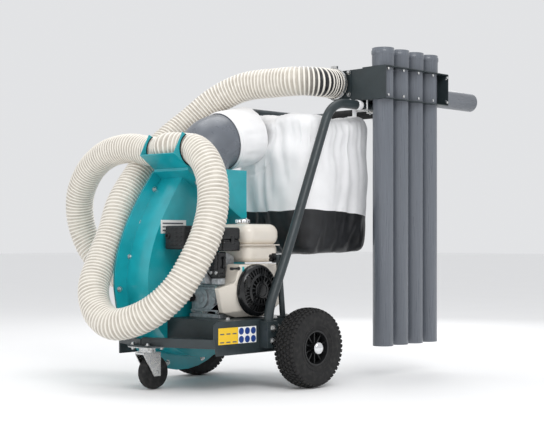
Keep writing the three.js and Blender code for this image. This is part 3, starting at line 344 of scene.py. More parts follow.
def ribbed_hose():
    """Soft plastic hose wound on a stiff rib: bright ribs, and a thin greyish wall between them.

    The UV map holds ribs along the hose in U and the whole length, from 0 to 1, in V."""
    made, tree, shader = start_material("ribbed_hose", 0.36)
    flat = add_node(tree, "UVMap", uv_map="UVMap")
    split = add_node(tree, "SeparateXYZ", {0: flat.outputs[0]})
    phase = add_node(tree, "Math", {0: split.outputs[0]}, operation="FRACT").outputs[0]
    from_rib = add_node(tree, "Math", {0: phase, 1: 0.5}, operation="SUBTRACT").outputs[0]
    distance = add_node(tree, "Math", {0: from_rib}, operation="ABSOLUTE").outputs[0]
    between = widen(tree, distance, 0.1, 0.2, 0, 1)
    wall = blend_colours(tree, widen(tree, grain(tree, 30), 0.35, 0.65, 0, 1),
                         linear("#B8B0A4"), linear("#CBC4B8"))
    over_spigot = widen(tree, split.outputs[1], 0.955, 0.972, 0, 1)
    deep = blend_colours(tree, over_spigot, wall, linear("#17191B"))
    tree.links.new(blend_colours(tree, between, chosen("hose"), deep), shader.inputs["Base Color"])
    return made


def printed_film(name, shade):
    """Vinyl label film: flat printed colour under a thin clear layer."""
    made, tree, shader = start_material(name, 0.35, Coat_Weight=0.2)
    colour = linear(shade)
    tree.links.new(blend_colours(tree, grain(tree, 15), shaded(colour, 0.95), colour),
                   shader.inputs["Base Color"])
    return made


def studio_paper():
    """Seamless background paper: nearly white and quite dull."""
    made, tree, shader = start_material("studio_paper", 0.9)
    tree.links.new(blend_colours(tree, grain(tree, 400), linear("#F5F5F5"), linear("#F8F8F8")),
                   shader.inputs["Base Color"])
    return made


FINISHES = {
    "housing": gloss_enamel,
    "frame": powder_coat,
    "engine": engine_paint,
    "pipe": lambda: extruded_pvc("extruded_pvc", (1, 1, 0.04)),
    "lance": lambda: extruded_pvc("extruded_pvc_level", (1, 0.04, 1)),
    "elbow": lambda: extruded_pvc("moulded_pvc", (0.12, 0.12, 0.12), 0.02),
    "black": lambda: moulded_black("moulded_nylon", 0.42, 1.1, 0.1),
    "gloss_black": lambda: moulded_black("gloss_abs", 0.22, 6, 0.05),
    "heat_black": lambda: moulded_black("heatproof_paint", 0.55, 1.8, 0.2),
    "tyre": lambda: vulcanised_rubber("tyre_rubber", "#161617"),
    "rubber": lambda: vulcanised_rubber("moulded_rubber", "#0F1011"),
    "cast": cast_aluminium,
    "zinc": zinc_plate,
    "chrome": bright_chrome,
    "cloth": filter_cloth,
    "coated": coated_cloth,
    "hose": ribbed_hose,
    "label_white": lambda: printed_film("label_white", "#F3F3F0"),
    "label_yellow": lambda: printed_film("label_yellow", "#F3C61B"),
    "label_blue": lambda: printed_film("label_blue", "#1E3F86"),
    "label_grey": lambda: printed_film("label_grey", "#54585C"),
    "label_teal": lambda: printed_film("label_teal", "#33B5BE"),
    "paper": studio_paper,
}
_made = {}


def finish(name):
    """The named material, made the first time it is asked for."""
    if name not in _made:
        _made[name] = FINISHES[name]()
    return _made[name]


# ---------------------------------------------------------------- mesh making
def put(bm, name, looks, body, replaces=(), sharp=35.0):
    """Makes a bmesh into a piece that rides on a body and stands for the named nodes.

    looks is a finish or a list of finishes. Edges that turn more than sharp degrees stay crisp."""
    limit = math.radians(sharp)
    bm.normal_update()
    for face in bm.faces:
        face.smooth = True
    for edge in bm.edges:
        edge.smooth = len(edge.link_faces) == 2 and edge.calc_face_angle(math.pi) < limit
    mesh = bpy.data.meshes.new(name)
    bm.to_mesh(mesh)
    bm.free()
    made = bpy.data.objects.new(name, mesh)
    bpy.context.scene.collection.objects.link(made)
    for look in ([looks] if isinstance(looks, str) else looks):
        mesh.materials.append(finish(look))
    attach(made, body)
    if replaces:
        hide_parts(*replaces)
    return made


def soften(piece, width=None, segments=2, angle=32.0):
    """Gives a piece small bevels on its crisp edges, as folded sheet and castings have."""
    bevel = piece.modifiers.new("edge break", "BEVEL")
    bevel.width = width or sizes().edge_break
    bevel.segments = segments
    bevel.limit_method = "ANGLE"
    bevel.angle_limit = math.radians(angle)
    bevel.harden_normals = True
    return piece


def combine(*shapes):
    """One bmesh that holds all of these."""
    whole = bmesh.new()
    for shape in shapes:
        carrier = bpy.data.meshes.new("carrier")
        shape.to_mesh(carrier)
        shape.free()
        whole.from_mesh(carrier)
        bpy.data.meshes.remove(carrier)
    return whole


def laid_along(axis, centre):
    """Matrix that lays a shape made about Z along X, Y or Z and moves it to a point in metres."""
    turn = {
        "X": Matrix.Rotation(math.pi / 2, 4, "Y"),
        "Y": Matrix.Rotation(-math.pi / 2, 4, "X"),
        "Z": Matrix.Identity(4),
    }[axis]
    return Matrix.Translation(centre) @ turn


def lathe(profile, steps=48, closed=False):
    """Spins a profile of (radius, height) millimetres about Z; closed joins its last point to its first."""
    shape = bmesh.new()
    line = [shape.verts.new(Vector((radius, 0, height)) * MM) for radius, height in profile]
    edges = [shape.edges.new(pair) for pair in zip(line, line[1:])]
    if closed:
        edges.append(shape.edges.new((line[-1], line[0])))
    bmesh.ops.spin(shape, geom=line + edges, cent=(0, 0, 0), axis=Z_AXIS,
                   angle=math.tau, steps=steps, use_merge=True)
    bmesh.ops.remove_doubles(shape, verts=shape.verts, dist=1e-6)
    bmesh.ops.recalc_face_normals(shape, faces=shape.faces)
    return shape


def turned(profile, axis, x, y, z, steps=48, closed=False):
    """A lathe shape laid along an axis, its height counted from the point (x, y, z)."""
    shape = lathe(profile, steps, closed)
    shape.transform(laid_along(axis, place(x, y, z)))
    return shape


def cylinder(start, end, radius, segments=24, radius_end=None):
    """Round bar between two points in millimetres."""
    first, second = place(*start), place(*end)
    along = second - first
    shape = bmesh.new()
    bmesh.ops.create_cone(
        shape, cap_ends=True, segments=segments, radius1=radius * MM,
        radius2=(radius if radius_end is None else radius_end) * MM, depth=along.length,
        matrix=Matrix.Translation((first + second) / 2) @ along.to_track_quat("Z", "Y").to_matrix().to_4x4())
    return shape


def block(low, high, bevel=0.0, segments=3):
    """Box between two corners in millimetres, with rounded edges."""
    first, second = place(*low), place(*high)
    shape = bmesh.new()
    bmesh.ops.create_cube(
        shape, size=1.0, matrix=Matrix.Translation((first + second) / 2)
        @ Matrix.Diagonal((second - first).to_4d()))
    if bevel:
        bmesh.ops.bevel(shape, geom=shape.edges[:], offset=bevel * MM, segments=segments,
                        affect="EDGES", profile=0.5, material=-1)
    return shape


def prism(outline, start, end):
    """Extrudes a (y, z) outline along X, from start to end millimetres."""
    shape = bmesh.new()
    face = shape.faces.new([shape.verts.new(place(start, y, z)) for y, z in outline])
    grown = bmesh.ops.extrude_face_region(shape, geom=[face])
    moved = [item for item in grown["geom"] if isinstance(item, bmesh.types.BMVert)]
    bmesh.ops.translate(shape, verts=moved, vec=Vector((end - start, 0, 0)) * MM)
    bmesh.ops.recalc_face_normals(shape, faces=shape.faces)
    return shape


def hex_bolt(at, direction, across=11.0, height=6.0, washer=True):
    """Hexagon bolt head on a washer, standing on the point at and pointing along a direction."""
    way = Vector(direction).normalized()
    foot = Vector(at)
    parts = []
    if washer:
        parts.append(cylinder(foot, foot + way * 1.6, across * 0.85, 20))
    base = foot + way * (1.6 if washer else 0.0)
    parts.append(cylinder(base, base + way * height, across * 0.577, 6))
    parts.append(cylinder(base + way * height, base + way * (height + 1.2), across * 0.45, 12, across * 0.3))
    return combine(*parts)


def copy_of(node):
    """A node's own shape with its loose triangles joined at their corners."""
    shape = bmesh.new()
    shape.from_mesh(frame["nodes"][node].data)
    bmesh.ops.remove_doubles(shape, verts=shape.verts, dist=2e-6)
    return shape


def dress(node, look, body="machine", width=None, sharp=35.0, extra=()):
    """Stands in for a node with its own shape, softened edges and extra shapes joined to it."""
    shape = copy_of(node)
    if extra:
        shape = combine(shape, *extra)
    piece = put(shape, f"{node}_skin", look, body, [node], sharp)
    return soften(piece, width)


class Route:
    """Smooth line through points in metres, with a frame at every step that doesn't twist."""

    def __init__(self, points):
        self.points = points
        self.lengths = [0.0]
        for before, after in zip(points, points[1:]):
            self.lengths.append(self.lengths[-1] + (after - before).length)
        self.total = self.lengths[-1]
        self.ways = []
        for i in range(len(points)):
            before = points[max(i - 1, 0)]
            after = points[min(i + 1, len(points) - 1)]
            self.ways.append((after - before).normalized())
        side = X_AXIS if abs(self.ways[0].dot(X_AXIS)) < 0.9 else Y_AXIS
        self.sides = []
        for way in self.ways:
            side = (side - way * side.dot(way)).normalized()
            self.sides.append(side)

    def point(self, along, across=0.0, up=0.0):
        """The point at a distance along the line, moved across and up in its frame."""
        along = min(max(along, 0.0), self.total)
        low, high = 0, len(self.lengths) - 1
        while high - low > 1:
            half = (low + high) // 2
            low, high = (half, high) if self.lengths[half] <= along else (low, half)
        part = (along - self.lengths[low]) / max(self.lengths[high] - self.lengths[low], 1e-9)
        way = self.ways[low].lerp(self.ways[high], part).normalized()
        side = self.sides[low].lerp(self.sides[high], part)
        side = (side - way * side.dot(way)).normalized()
        centre = self.points[low].lerp(self.points[high], part)
        return centre + side * across + way.cross(side) * up


def bend_along(shape, route):
    """Lays a shape made along Z from the origin on a route."""
    for vert in shape.verts:
        vert.co = route.point(vert.co.z, vert.co.x, vert.co.y)
    bmesh.ops.recalc_face_normals(shape, faces=shape.faces)
    return shape


def tube_on(route, radius, steps, segments=28, wall=0.0):
    """Tube of a radius in millimetres on a route; with a wall its ends are open."""
    length = route.total / MM
    outside = [(radius, length * i / steps) for i in range(steps + 1)]
    if wall:
        inside = [(radius - wall, height) for _, height in reversed(outside)]
        return bend_along(lathe(outside + inside, segments, closed=True), route)
    return bend_along(lathe([(0, 0), *outside, (0, length)], segments), route)


def polyline(corners, bends, arc_steps=8):
    """Points in metres along straight lengths; bends maps a corner's number to where its curve starts."""
    points = [place(*corners[0])]
    for number in range(1, len(corners) - 1):
        corner = Vector(corners[number])
        into = Vector(corners[number - 1]) - corner
        away = Vector(corners[number + 1]) - corner
        reach = bends[number]
        start = corner + into.normalized() * reach
        end = corner + away.normalized() * reach
        for i in range(arc_steps + 1):
            t = i / arc_steps
            point = start * (1 - t) ** 2 + corner * 2 * t * (1 - t) + end * t ** 2
            points.append(place(*point))
    points.append(place(*corners[-1]))
    return points


def filled_line(points, spacing):
    """The same line with points no further apart than spacing, in metres."""
    dense = [points[0]]
    for before, after in zip(points, points[1:]):
        pieces = max(1, math.ceil((after - before).length / spacing))
        dense += [before.lerp(after, i / pieces) for i in range(1, pieces + 1)]
    return dense


# ---------------------------------------------------------------- places shared by several pieces
AXLE_Z = (middle("tyre_left") - ORIGIN).z / MM
WHEEL_X = (middle("tyre_left") - ORIGIN).x / MM
CRANK_Y = (middle("inlet_spigot") - ORIGIN).y / MM
CRANK_Z = (middle("inlet_spigot") - ORIGIN).z / MM
HOSE_OD = 104.0
FAN_RIGHT = -212.0
COVER_LIP = 52.0
MOUTH_FRONT = (-263.0, 739.0)
MOUTH_SLOPE = 0.625
LANCE_X, LANCE_Z = 118, 1068
HANDLE_X, HANDLE_Z = 207, 986
CASTER_X, CASTER_Y = -66, -418
FILLER_X, FILLER_Y = 8, -45
ELBOW_X, ELBOW_Y = -138, -112
ELBOW_TURN = math.radians(78)
ELBOW_WAY = Vector((0, math.sin(ELBOW_TURN), math.cos(ELBOW_TURN)))


def spiral(turn, offset):
    """Point (y, z) of the fan housing's spiral, turn degrees after its tongue, offset outside it."""
    radius = 184 + 0.4 * turn + offset
    angle = math.radians(60 - turn)
    return CRANK_Y + radius * math.cos(angle), CRANK_Z + radius * math.sin(angle)


def mouth_z(y):
    """Height of the sloping outlet flange above a place along the machine."""
    return MOUTH_FRONT[1] - MOUTH_SLOPE * (y - MOUTH_FRONT[0])


# Route of the hose axis, from the fan inlet over the cradle and back to the rack's flange.
HOSE_ROUTE = [
    (-263, -106, 330), (-330, -106, 330), (-430, -112, 335), (-560, -135, 362), (-668, -170, 440),
    (-712, -200, 550), (-694, -222, 660), (-618, -236, 752), (-500, -244, 812), (-370, -242, 828),
    (-260, -237, 812), (-205, -239, 808), (-132, -260, 817), (-64, -241, 812), (-22, -241, 804),
    (38, -252, 766), (88, -268, 700), (116, -290, 610), (126, -326, 520), (118, -372, 430),
    (88, -420, 340), (34, -468, 272), (-40, -505, 232), (-114, -526, 222), (-192, -524, 258),
    (-250, -500, 330), (-284, -442, 420), (-302, -378, 520), (-322, -325, 620), (-338, -245, 715),
    (-352, -160, 795), (-345, -80, 868), (-306, -10, 935), (-236, 50, 1010), (-138, 100, 1058),
    (-20, 145, 1068), (70, 182, 1070), (114, 236, 1068), (118, 285, 1068), (118, 320, 1068),
    (118, 340.7, 1068),
]


def smooth_line(points, per_gap=12):
    """Centripetal Catmull-Rom curve through points, with per_gap steps between neighbours."""
    ends = [points[0] * 2 - points[1], *points, points[-1] * 2 - points[-2]]
    line = []
    for i in range(len(points) - 1):
        a, b, c, d = ends[i:i + 4]
        t0, t1, t2 = [math.sqrt((q - p).length) for p, q in ((a, b), (b, c), (c, d))]
        leave = ((b - a) / t0 - (c - a) / (t0 + t1) + (c - b) / t1) * t1
        arrive = ((c - b) / t1 - (d - b) / (t1 + t2) + (d - c) / t2) * t1
        for step in range(per_gap):
            t = step / per_gap
            line.append(b + leave * t + (3 * (c - b) - 2 * leave - arrive) * t * t
                        + (2 * (b - c) + leave + arrive) * t ** 3)
    return [*line, points[-1]]


class PieceOperator(bpy.types.Operator):
    """Shared options of the operators that make the machine's pieces."""

    bl_options = {"REGISTER", "UNDO"}


class LEAFVAC_OT_stage(PieceOperator):
    """Sets up the camera, the studio lights and the pale floor"""

    bl_idname = "leafvac.stage"
    bl_label = "Stage"

    def execute(self, context):
        scene = context.scene
        lens = bpy.data.cameras.new("camera")
        lens.sensor_width = 36
        lens.lens = 79.4
        lens.shift_y = 0.025735
        camera = bpy.data.objects.new("camera", lens)
        camera.location = place(3004.2, -3000, 504.4)
        camera.rotation_euler = (math.pi / 2, 0, math.radians(44))
        scene.collection.objects.link(camera)
        scene.camera = camera

        paper = bmesh.new()
        bmesh.ops.create_grid(paper, x_segments=1, y_segments=1, size=30,
                              matrix=Matrix.Translation(place(0, 0, -0.5)))
        mesh = bpy.data.meshes.new("floor")
        paper.to_mesh(mesh)
        paper.free()
        floor = bpy.data.objects.new("floor", mesh)
        mesh.materials.append(finish("paper"))
        scene.collection.objects.link(floor)

        world = bpy.data.worlds.new("studio")
        world.use_nodes = True
        background = world.node_tree.nodes["Background"]
        background.inputs["Color"].default_value = linear("#F7F8FA")
        background.inputs["Strength"].default_value = 0.82
        scene.world = world
        scene.view_settings.view_transform = "Standard"

        for name, at, aim, size, watts in (
                ("key", (2600, -1300, 2700), (0, 0, 550), 1.6, 42),
                ("front", (-300, -3400, 1500), (0, 0, 500), 2.2, 16),
                ("top", (-600, 600, 3200), (0, 200, 700), 2.0, 26),
                ("rear", (-1500, 2600, 1600), (0, 0, 600), 1.5, 14)):
            glow = bpy.data.lights.new(name, "AREA")
            glow.size = size
            glow.energy = watts
            lamp = bpy.data.objects.new(name, glow)
            lamp.location = place(*at)
            lamp.rotation_euler = (place(*aim) - lamp.location).to_track_quat("-Z", "Y").to_euler()
            scene.collection.objects.link(lamp)
        return {"FINISHED"}


class LEAFVAC_OT_suction_hose(PieceOperator):
    """Makes the ribbed suction hose and its two clamps"""

    bl_idname = "leafvac.suction_hose"
    bl_label = "Suction hose"

    def execute(self, context):
        route = Route(smooth_line([place(*point) for point in HOSE_ROUTE]))
        pitch = sizes().rib_pitch / MM
        crest = HOSE_OD / 2
        valley = crest - sizes().rib_height / MM
        ribs = math.floor(route.total / MM / pitch) - 1
        section = [(0.0, valley), (0.32, valley), (0.42, crest), (0.58, crest), (0.68, valley)]
        profile = [(radius, (rib + phase) * pitch) for rib in range(ribs) for phase, radius in section]
        profile.append((valley, ribs * pitch))
        segments = 24  # round the hose
        shape = bmesh.new()
        line = [shape.verts.new((r * MM, 0, z * MM)) for r, z in profile]
        edges = [shape.edges.new(pair) for pair in zip(line, line[1:])]
        bmesh.ops.spin(shape, geom=line + edges, cent=(0, 0, 0), axis=Z_AXIS,
                       angle=math.tau, steps=segments, use_merge=False)
        self.mark_ribs(shape, pitch * MM, ribs)
        # Each turn of the spin climbs one pitch, so the ribs join into one long helix.
        spare = (route.total - (ribs + 1) * pitch * MM) / 2
        for vert in shape.verts:
            turn = math.atan2(vert.co.y, vert.co.x) / math.tau
            if vert.index >= len(profile):
                turn = turn % 1.0 if vert.index < len(profile) * segments else 1.0
            vert.co.z += spare + turn * pitch * MM
        bmesh.ops.remove_doubles(shape, verts=shape.verts, dist=2e-5)
        bend_along(shape, route)
        hose = put(shape, "ribbed_hose", "hose", "machine", ["suction_hose"], sharp=75)
        wall = hose.modifiers.new("wall", "SOLIDIFY")
        wall.thickness = 1.2 * MM
        wall.offset = -1
        clamps = [dress(node, "zinc") for node in ("hose_clamp_rear", "hose_clamp_front")]
        path = [route.point(route.total * i / 160) for i in range(161)]
        # The path's last point is 9 mm above the hose's axis. The declared exit is 24 mm above its true
        # start, because an exit on the axis is too far from the ring of the inlet spigot to be accepted.
        path[-1] = place(118, 340.7, 1077)
        return {"FINISHED"}

    def mark_ribs(self, shape, pitch, ribs):
        """Writes the UV map: ribs along the hose in U and the share of its length in V."""
        layer = shape.loops.layers.uv.new("UVMap")
        for face in shape.faces:
            for loop in face.loops:
                rib = loop.vert.co.z / pitch
                loop[layer].uv = (rib, rib / ribs)


def rounded(low, high, plan, edge, segments=6):
    """Box with its four upright corners rounded by plan and its top and bottom rims by edge, in mm."""
    first, second = place(*low), place(*high)
    shape = bmesh.new()
    bmesh.ops.create_cube(
        shape, size=1.0, matrix=Matrix.Translation((first + second) / 2)
        @ Matrix.Diagonal((second - first).to_4d()))
    upright = [e for e in shape.edges if abs((e.verts[0].co - e.verts[1].co).normalized().z) > 0.9]
    bmesh.ops.bevel(shape, geom=upright, offset=plan * MM, segments=segments,
                    affect="EDGES", profile=0.5, material=-1)
    flat = [f for f in shape.faces if abs(f.normal.z) > 0.9]
    rims = list({e for f in flat for e in f.edges})
    bmesh.ops.bevel(shape, geom=rims, offset=edge * MM, segments=max(2, segments // 2 + 1),
                    affect="EDGES", profile=0.5, material=-1)
    return shape


def around(count, make, first=0.0):
    """Shapes made by make(angle) at even angles round a circle, as one shape."""
    return combine(*[make(first + math.tau * i / count) for i in range(count)])


class LEAFVAC_OT_wheels(PieceOperator):
    """Makes the two turf wheels with their rims, chrome caps and axles"""

    bl_idname = "leafvac.wheels"
    bl_label = "Wheels"

    def execute(self, context):
        for side, name in ((1, "left"), (-1, "right")):
            centre = side * WHEEL_X
            body = f"wheel_{name}"
            put(self.tyre(centre), f"turf_tyre_{name}", "tyre", body, [f"tyre_{name}"], sharp=42)
            soften(put(self.rim(centre), f"wheel_rim_{name}", "black", body,
                       [f"rim_{name}"]), 0.6 * MM)
            cap = lathe([(0, 13), (6, 12.6), (12, 11), (17, 8.4), (20, 5.2), (21.6, 2), (22, 0),
                         (13, 0), (13, 3), (0, 3)], 40)
            cap.transform(laid_along("X", place(centre + side * 42.3, 0, AXLE_Z))
                          @ Matrix.Diagonal((1, 1, side, 1)))
            bmesh.ops.recalc_face_normals(cap, faces=cap.faces)
            put(cap, f"chrome_cap_{name}", "chrome", body, [f"hub_cap_{name}"], sharp=50)
            dress(f"axle_{name}", "zinc")
        return {"FINISHED"}

    def tyre(self, centre):
        """Carcass with moulded sidewall rings, and seven staggered rows of tread blocks."""
        lug = sizes().lug_depth / MM
        crown = AXLE_Z - lug
        half = [(61, 30), (61, 35), (66, 37.5), (72, 39.5), (74, 41.8), (77, 41.8), (79, 40.6),
                (86, 42.6), (96, 43), (98, 43), (100, 42.2), (104, 42.4), (110, 41.4), (116, 39.6),
                (crown - 11, 40), (crown - 5.5, 33), (crown - 2, 22), (crown - 0.4, 10), (crown, 0)]
        profile = [(r, -x) for r, x in half] + [(r, x) for r, x in reversed(half[:-1])]
        carcass = turned(profile, "X", centre, 0, AXLE_Z, steps=72, closed=True)
        blocks = []
        rows = ((-36, 9, 0.0, 7.2), (-24.5, 9.5, 0.5, 2.9), (-12.5, 10, 0.0, 0.7), (0, 10.5, 0.5, 0.0),
                (12.5, 10, 0.0, 0.7), (24.5, 9.5, 0.5, 2.9), (36, 9, 0.0, 7.2))
        count = 48
        for across, width, stagger, drop in rows:
            tilt = math.atan2(across * abs(across), 3600)
            for i in range(count):
                angle = math.tau * (i + stagger) / count
                radius = AXLE_Z - drop - (lug + 3.2) / 2
                cube = bmesh.new()
                bmesh.ops.create_cube(cube, size=1.0)
                top = [v for v in cube.verts if v.co.z > 0]
                for vert in top:
                    vert.co.x *= 0.82
                    vert.co.y *= 0.8
                cube.transform(
                    Matrix.Translation(place(centre, 0, AXLE_Z))
                    @ Matrix.Rotation(angle, 4, "X")
                    @ Matrix.Translation(Vector((across, 0, radius)) * MM)
                    @ Matrix.Rotation(tilt, 4, "Y")
                    @ Matrix.Rotation(math.copysign(0.32, across) if across else 0.0, 4, "Z")
                    @ Matrix.Diagonal((width * MM, 12.5 * MM, (lug + 3.2) * MM, 1)))
                blocks.append(cube)
        return combine(carcass, *blocks)

    def rim(self, centre):
        """Moulded rim: barrel with rolled lips, dished web with ribs, and a long hub."""
        parts = [
            turned([(54, -36), (60, -36), (60, 36), (54, 36), (54, 30), (52, 26), (52, -26), (54, -30)],
                   "X", centre, 0, AXLE_Z, 56, closed=True),
            turned([(10.4, -5), (53, -5), (53, 6), (38, 9), (24, 12), (10.4, 12)],
                   "X", centre, 0, AXLE_Z, 56, closed=True),
            turned([(10.4, -42), (17, -42), (19, -40), (19, 40), (17, 42), (10.4, 42)],
                   "X", centre, 0, AXLE_Z, 40, closed=True)]
        for i in range(10):
            angle = math.tau * i / 10
            for low, high in ((6, 26), (-26, -4)):
                rib = bmesh.new()
                bmesh.ops.create_cube(rib, size=1.0)
                rib.transform(
                    Matrix.Translation(place(centre, 0, AXLE_Z)) @ Matrix.Rotation(angle, 4, "X")
                    @ Matrix.Translation(Vector(((low + high) / 2, 0, 35)) * MM)
                    @ Matrix.Diagonal(((high - low) * MM, 4 * MM, 35 * MM, 1)))
                parts.append(rib)
        return combine(*parts)


class LEAFVAC_OT_caster(PieceOperator):
    """Makes the swivel caster under the nose"""

    bl_idname = "leafvac.caster"
    bl_label = "Caster"

    def execute(self, context):
        x, y, top = CASTER_X, CASTER_Y, 145
        bolts = [hex_bolt((x + dx, y + dy, top - 4), (0, 0, -1), 10, 5)
                 for dx in (-38, 38) for dy in (-30, 30)]
        plate = put(combine(block((x - 50, y - 42, top - 4), (x + 50, y + 42, top), 1.0, 2), *bolts),
                    "caster_top_plate", "zinc", "machine", ["caster_plate"])
        soften(plate, 0.5 * MM)
        race = turned([(0, 0), (24, 0), (28, 3), (28, 7), (25, 9), (27, 11), (27, 14), (22, 16), (0, 16)],
                      "Z", x, y, 124.4, 40)
        fork = combine(copy_of("caster_fork"), race)
        soften(put(fork, "caster_swivel_fork", "zinc", "caster_swivel", ["caster_fork"]), 1.0 * MM)
        wheel_y, radius = y + 25, 57
        tread = [(8, -17), (8, -18), (22, -18), (27, -15), (36, -15), (40, -17.4), (47, -17), (53, -14),
                 (56, -8.5), (57, 0)]
        profile = tread + [(r, -a) for r, a in reversed(tread[:-1])]
        put(turned(profile, "X", x, wheel_y, radius, 64, closed=True), "caster_roller_tyre", "rubber",
            "caster_roller", ["caster_wheel"], sharp=50)
        axle = combine(cylinder((x - 22, wheel_y, radius), (x + 22, wheel_y, radius), 5),
                       hex_bolt((x + 21.4, wheel_y, radius), (1, 0, 0), 13, 4.4, washer=False),
                       hex_bolt((x - 21.4, wheel_y, radius), (-1, 0, 0), 13, 4.4, washer=False))
        put(axle, "caster_axle_bolt", "zinc", "caster_swivel", ["caster_axle"])
        return {"FINISHED"}


class LEAFVAC_OT_chassis(PieceOperator):
    """Makes the welded chassis with its fastenings"""

    bl_idname = "leafvac.chassis"
    bl_label = "Chassis"

    def execute(self, context):
        dress("chassis_frame", "frame", width=1.2 * MM)
        bolts = [hex_bolt((190, y, z), (1, 0, 0), 13, 6) for y, z in ((-60, 150), (-60, 205), (130, 150))]
        bolts += [hex_bolt((150, y, 233.2), (0, 0, 1), 12, 6) for y in (-255, 30)]
        bolts += [hex_bolt((CASTER_X + dx, CASTER_Y + dy, 150.4), (0, 0, 1), 10, 5)
                  for dx in (-38, 38) for dy in (-30, 20)]
        put(combine(*bolts), "chassis_bolts", "zinc", "machine")
        return {"FINISHED"}


class LEAFVAC_OT_fan_housing(PieceOperator):
    """Makes the fan housing, its bolted cover, seal, inlet and the shredding fan"""

    bl_idname = "leafvac.fan_housing"
    bl_label = "Fan housing"

    def execute(self, context):
        dress("fan_housing", "housing", width=1.0 * MM)
        dress("housing_cover", "housing", width=0.8 * MM)
        dress("housing_gasket", "rubber", width=0.3 * MM)
        dress("inlet_spigot", "housing")
        dress("impeller", "frame", body="rotor")
        bolts = []
        for turn in range(30, 241, 35):
            y, z = spiral(turn, COVER_LIP / 2 + 6)
            bolts.append(hex_bolt((FAN_RIGHT, y, z), (1, 0, 0), 12, 6))
        foot, head = spiral(240, COVER_LIP / 2 + 2), (-250, mouth_z(-250) - 34)
        for share in (0.3, 0.62, 0.94):
            y, z = (a + (b - a) * share for a, b in zip(foot, head))
            bolts.append(hex_bolt((FAN_RIGHT, y - 10 * math.sin(share * math.pi), z), (1, 0, 0), 12, 6))
        for y in (-200, -130, -60):
            bolts.append(hex_bolt((-60, y, mouth_z(y) - 3.6), (0, -0.53, -0.85), 11, 5))
        put(combine(*bolts), "housing_bolts", "zinc", "machine")
        return {"FINISHED"}


class LEAFVAC_OT_outlet(PieceOperator):
    """Makes the outlet hood, the hose cradle with its rubber trims, and the plastic elbow"""

    bl_idname = "leafvac.outlet"
    bl_label = "Outlet and cradle"

    def execute(self, context):
        dress("outlet_hood", "housing", width=1.6 * MM)
        dress("hose_cradle", "housing", width=1.2 * MM)
        for side in ("left", "right"):
            dress(f"cradle_trim_{side}", "rubber", width=0.8 * MM)
        rivets = [hex_bolt((-40, -180, 762), (1, 0, 0), 9, 4)]
        rivets += [hex_bolt((-38, y, 752), (1, 0, 0), 8, 3) for y in (-245, -196)]
        put(combine(*rivets), "cradle_rivets", "zinc", "machine")
        base, bend, arc_steps, straight = 745.3, 106, 24, 110
        line = []
        for i in range(arc_steps + 1):
            angle = ELBOW_TURN * i / arc_steps
            line.append(place(ELBOW_X, ELBOW_Y + bend - bend * math.cos(angle),
                              base + bend * math.sin(angle)))
        line.append(line[-1] + ELBOW_WAY * straight * MM)
        route = Route(filled_line(line, 0.006))
        put(tube_on(route, 100, 48, 56, wall=3.5), "plastic_elbow", "elbow", "machine",
            ["outlet_elbow"], sharp=50)
        return {"FINISHED"}


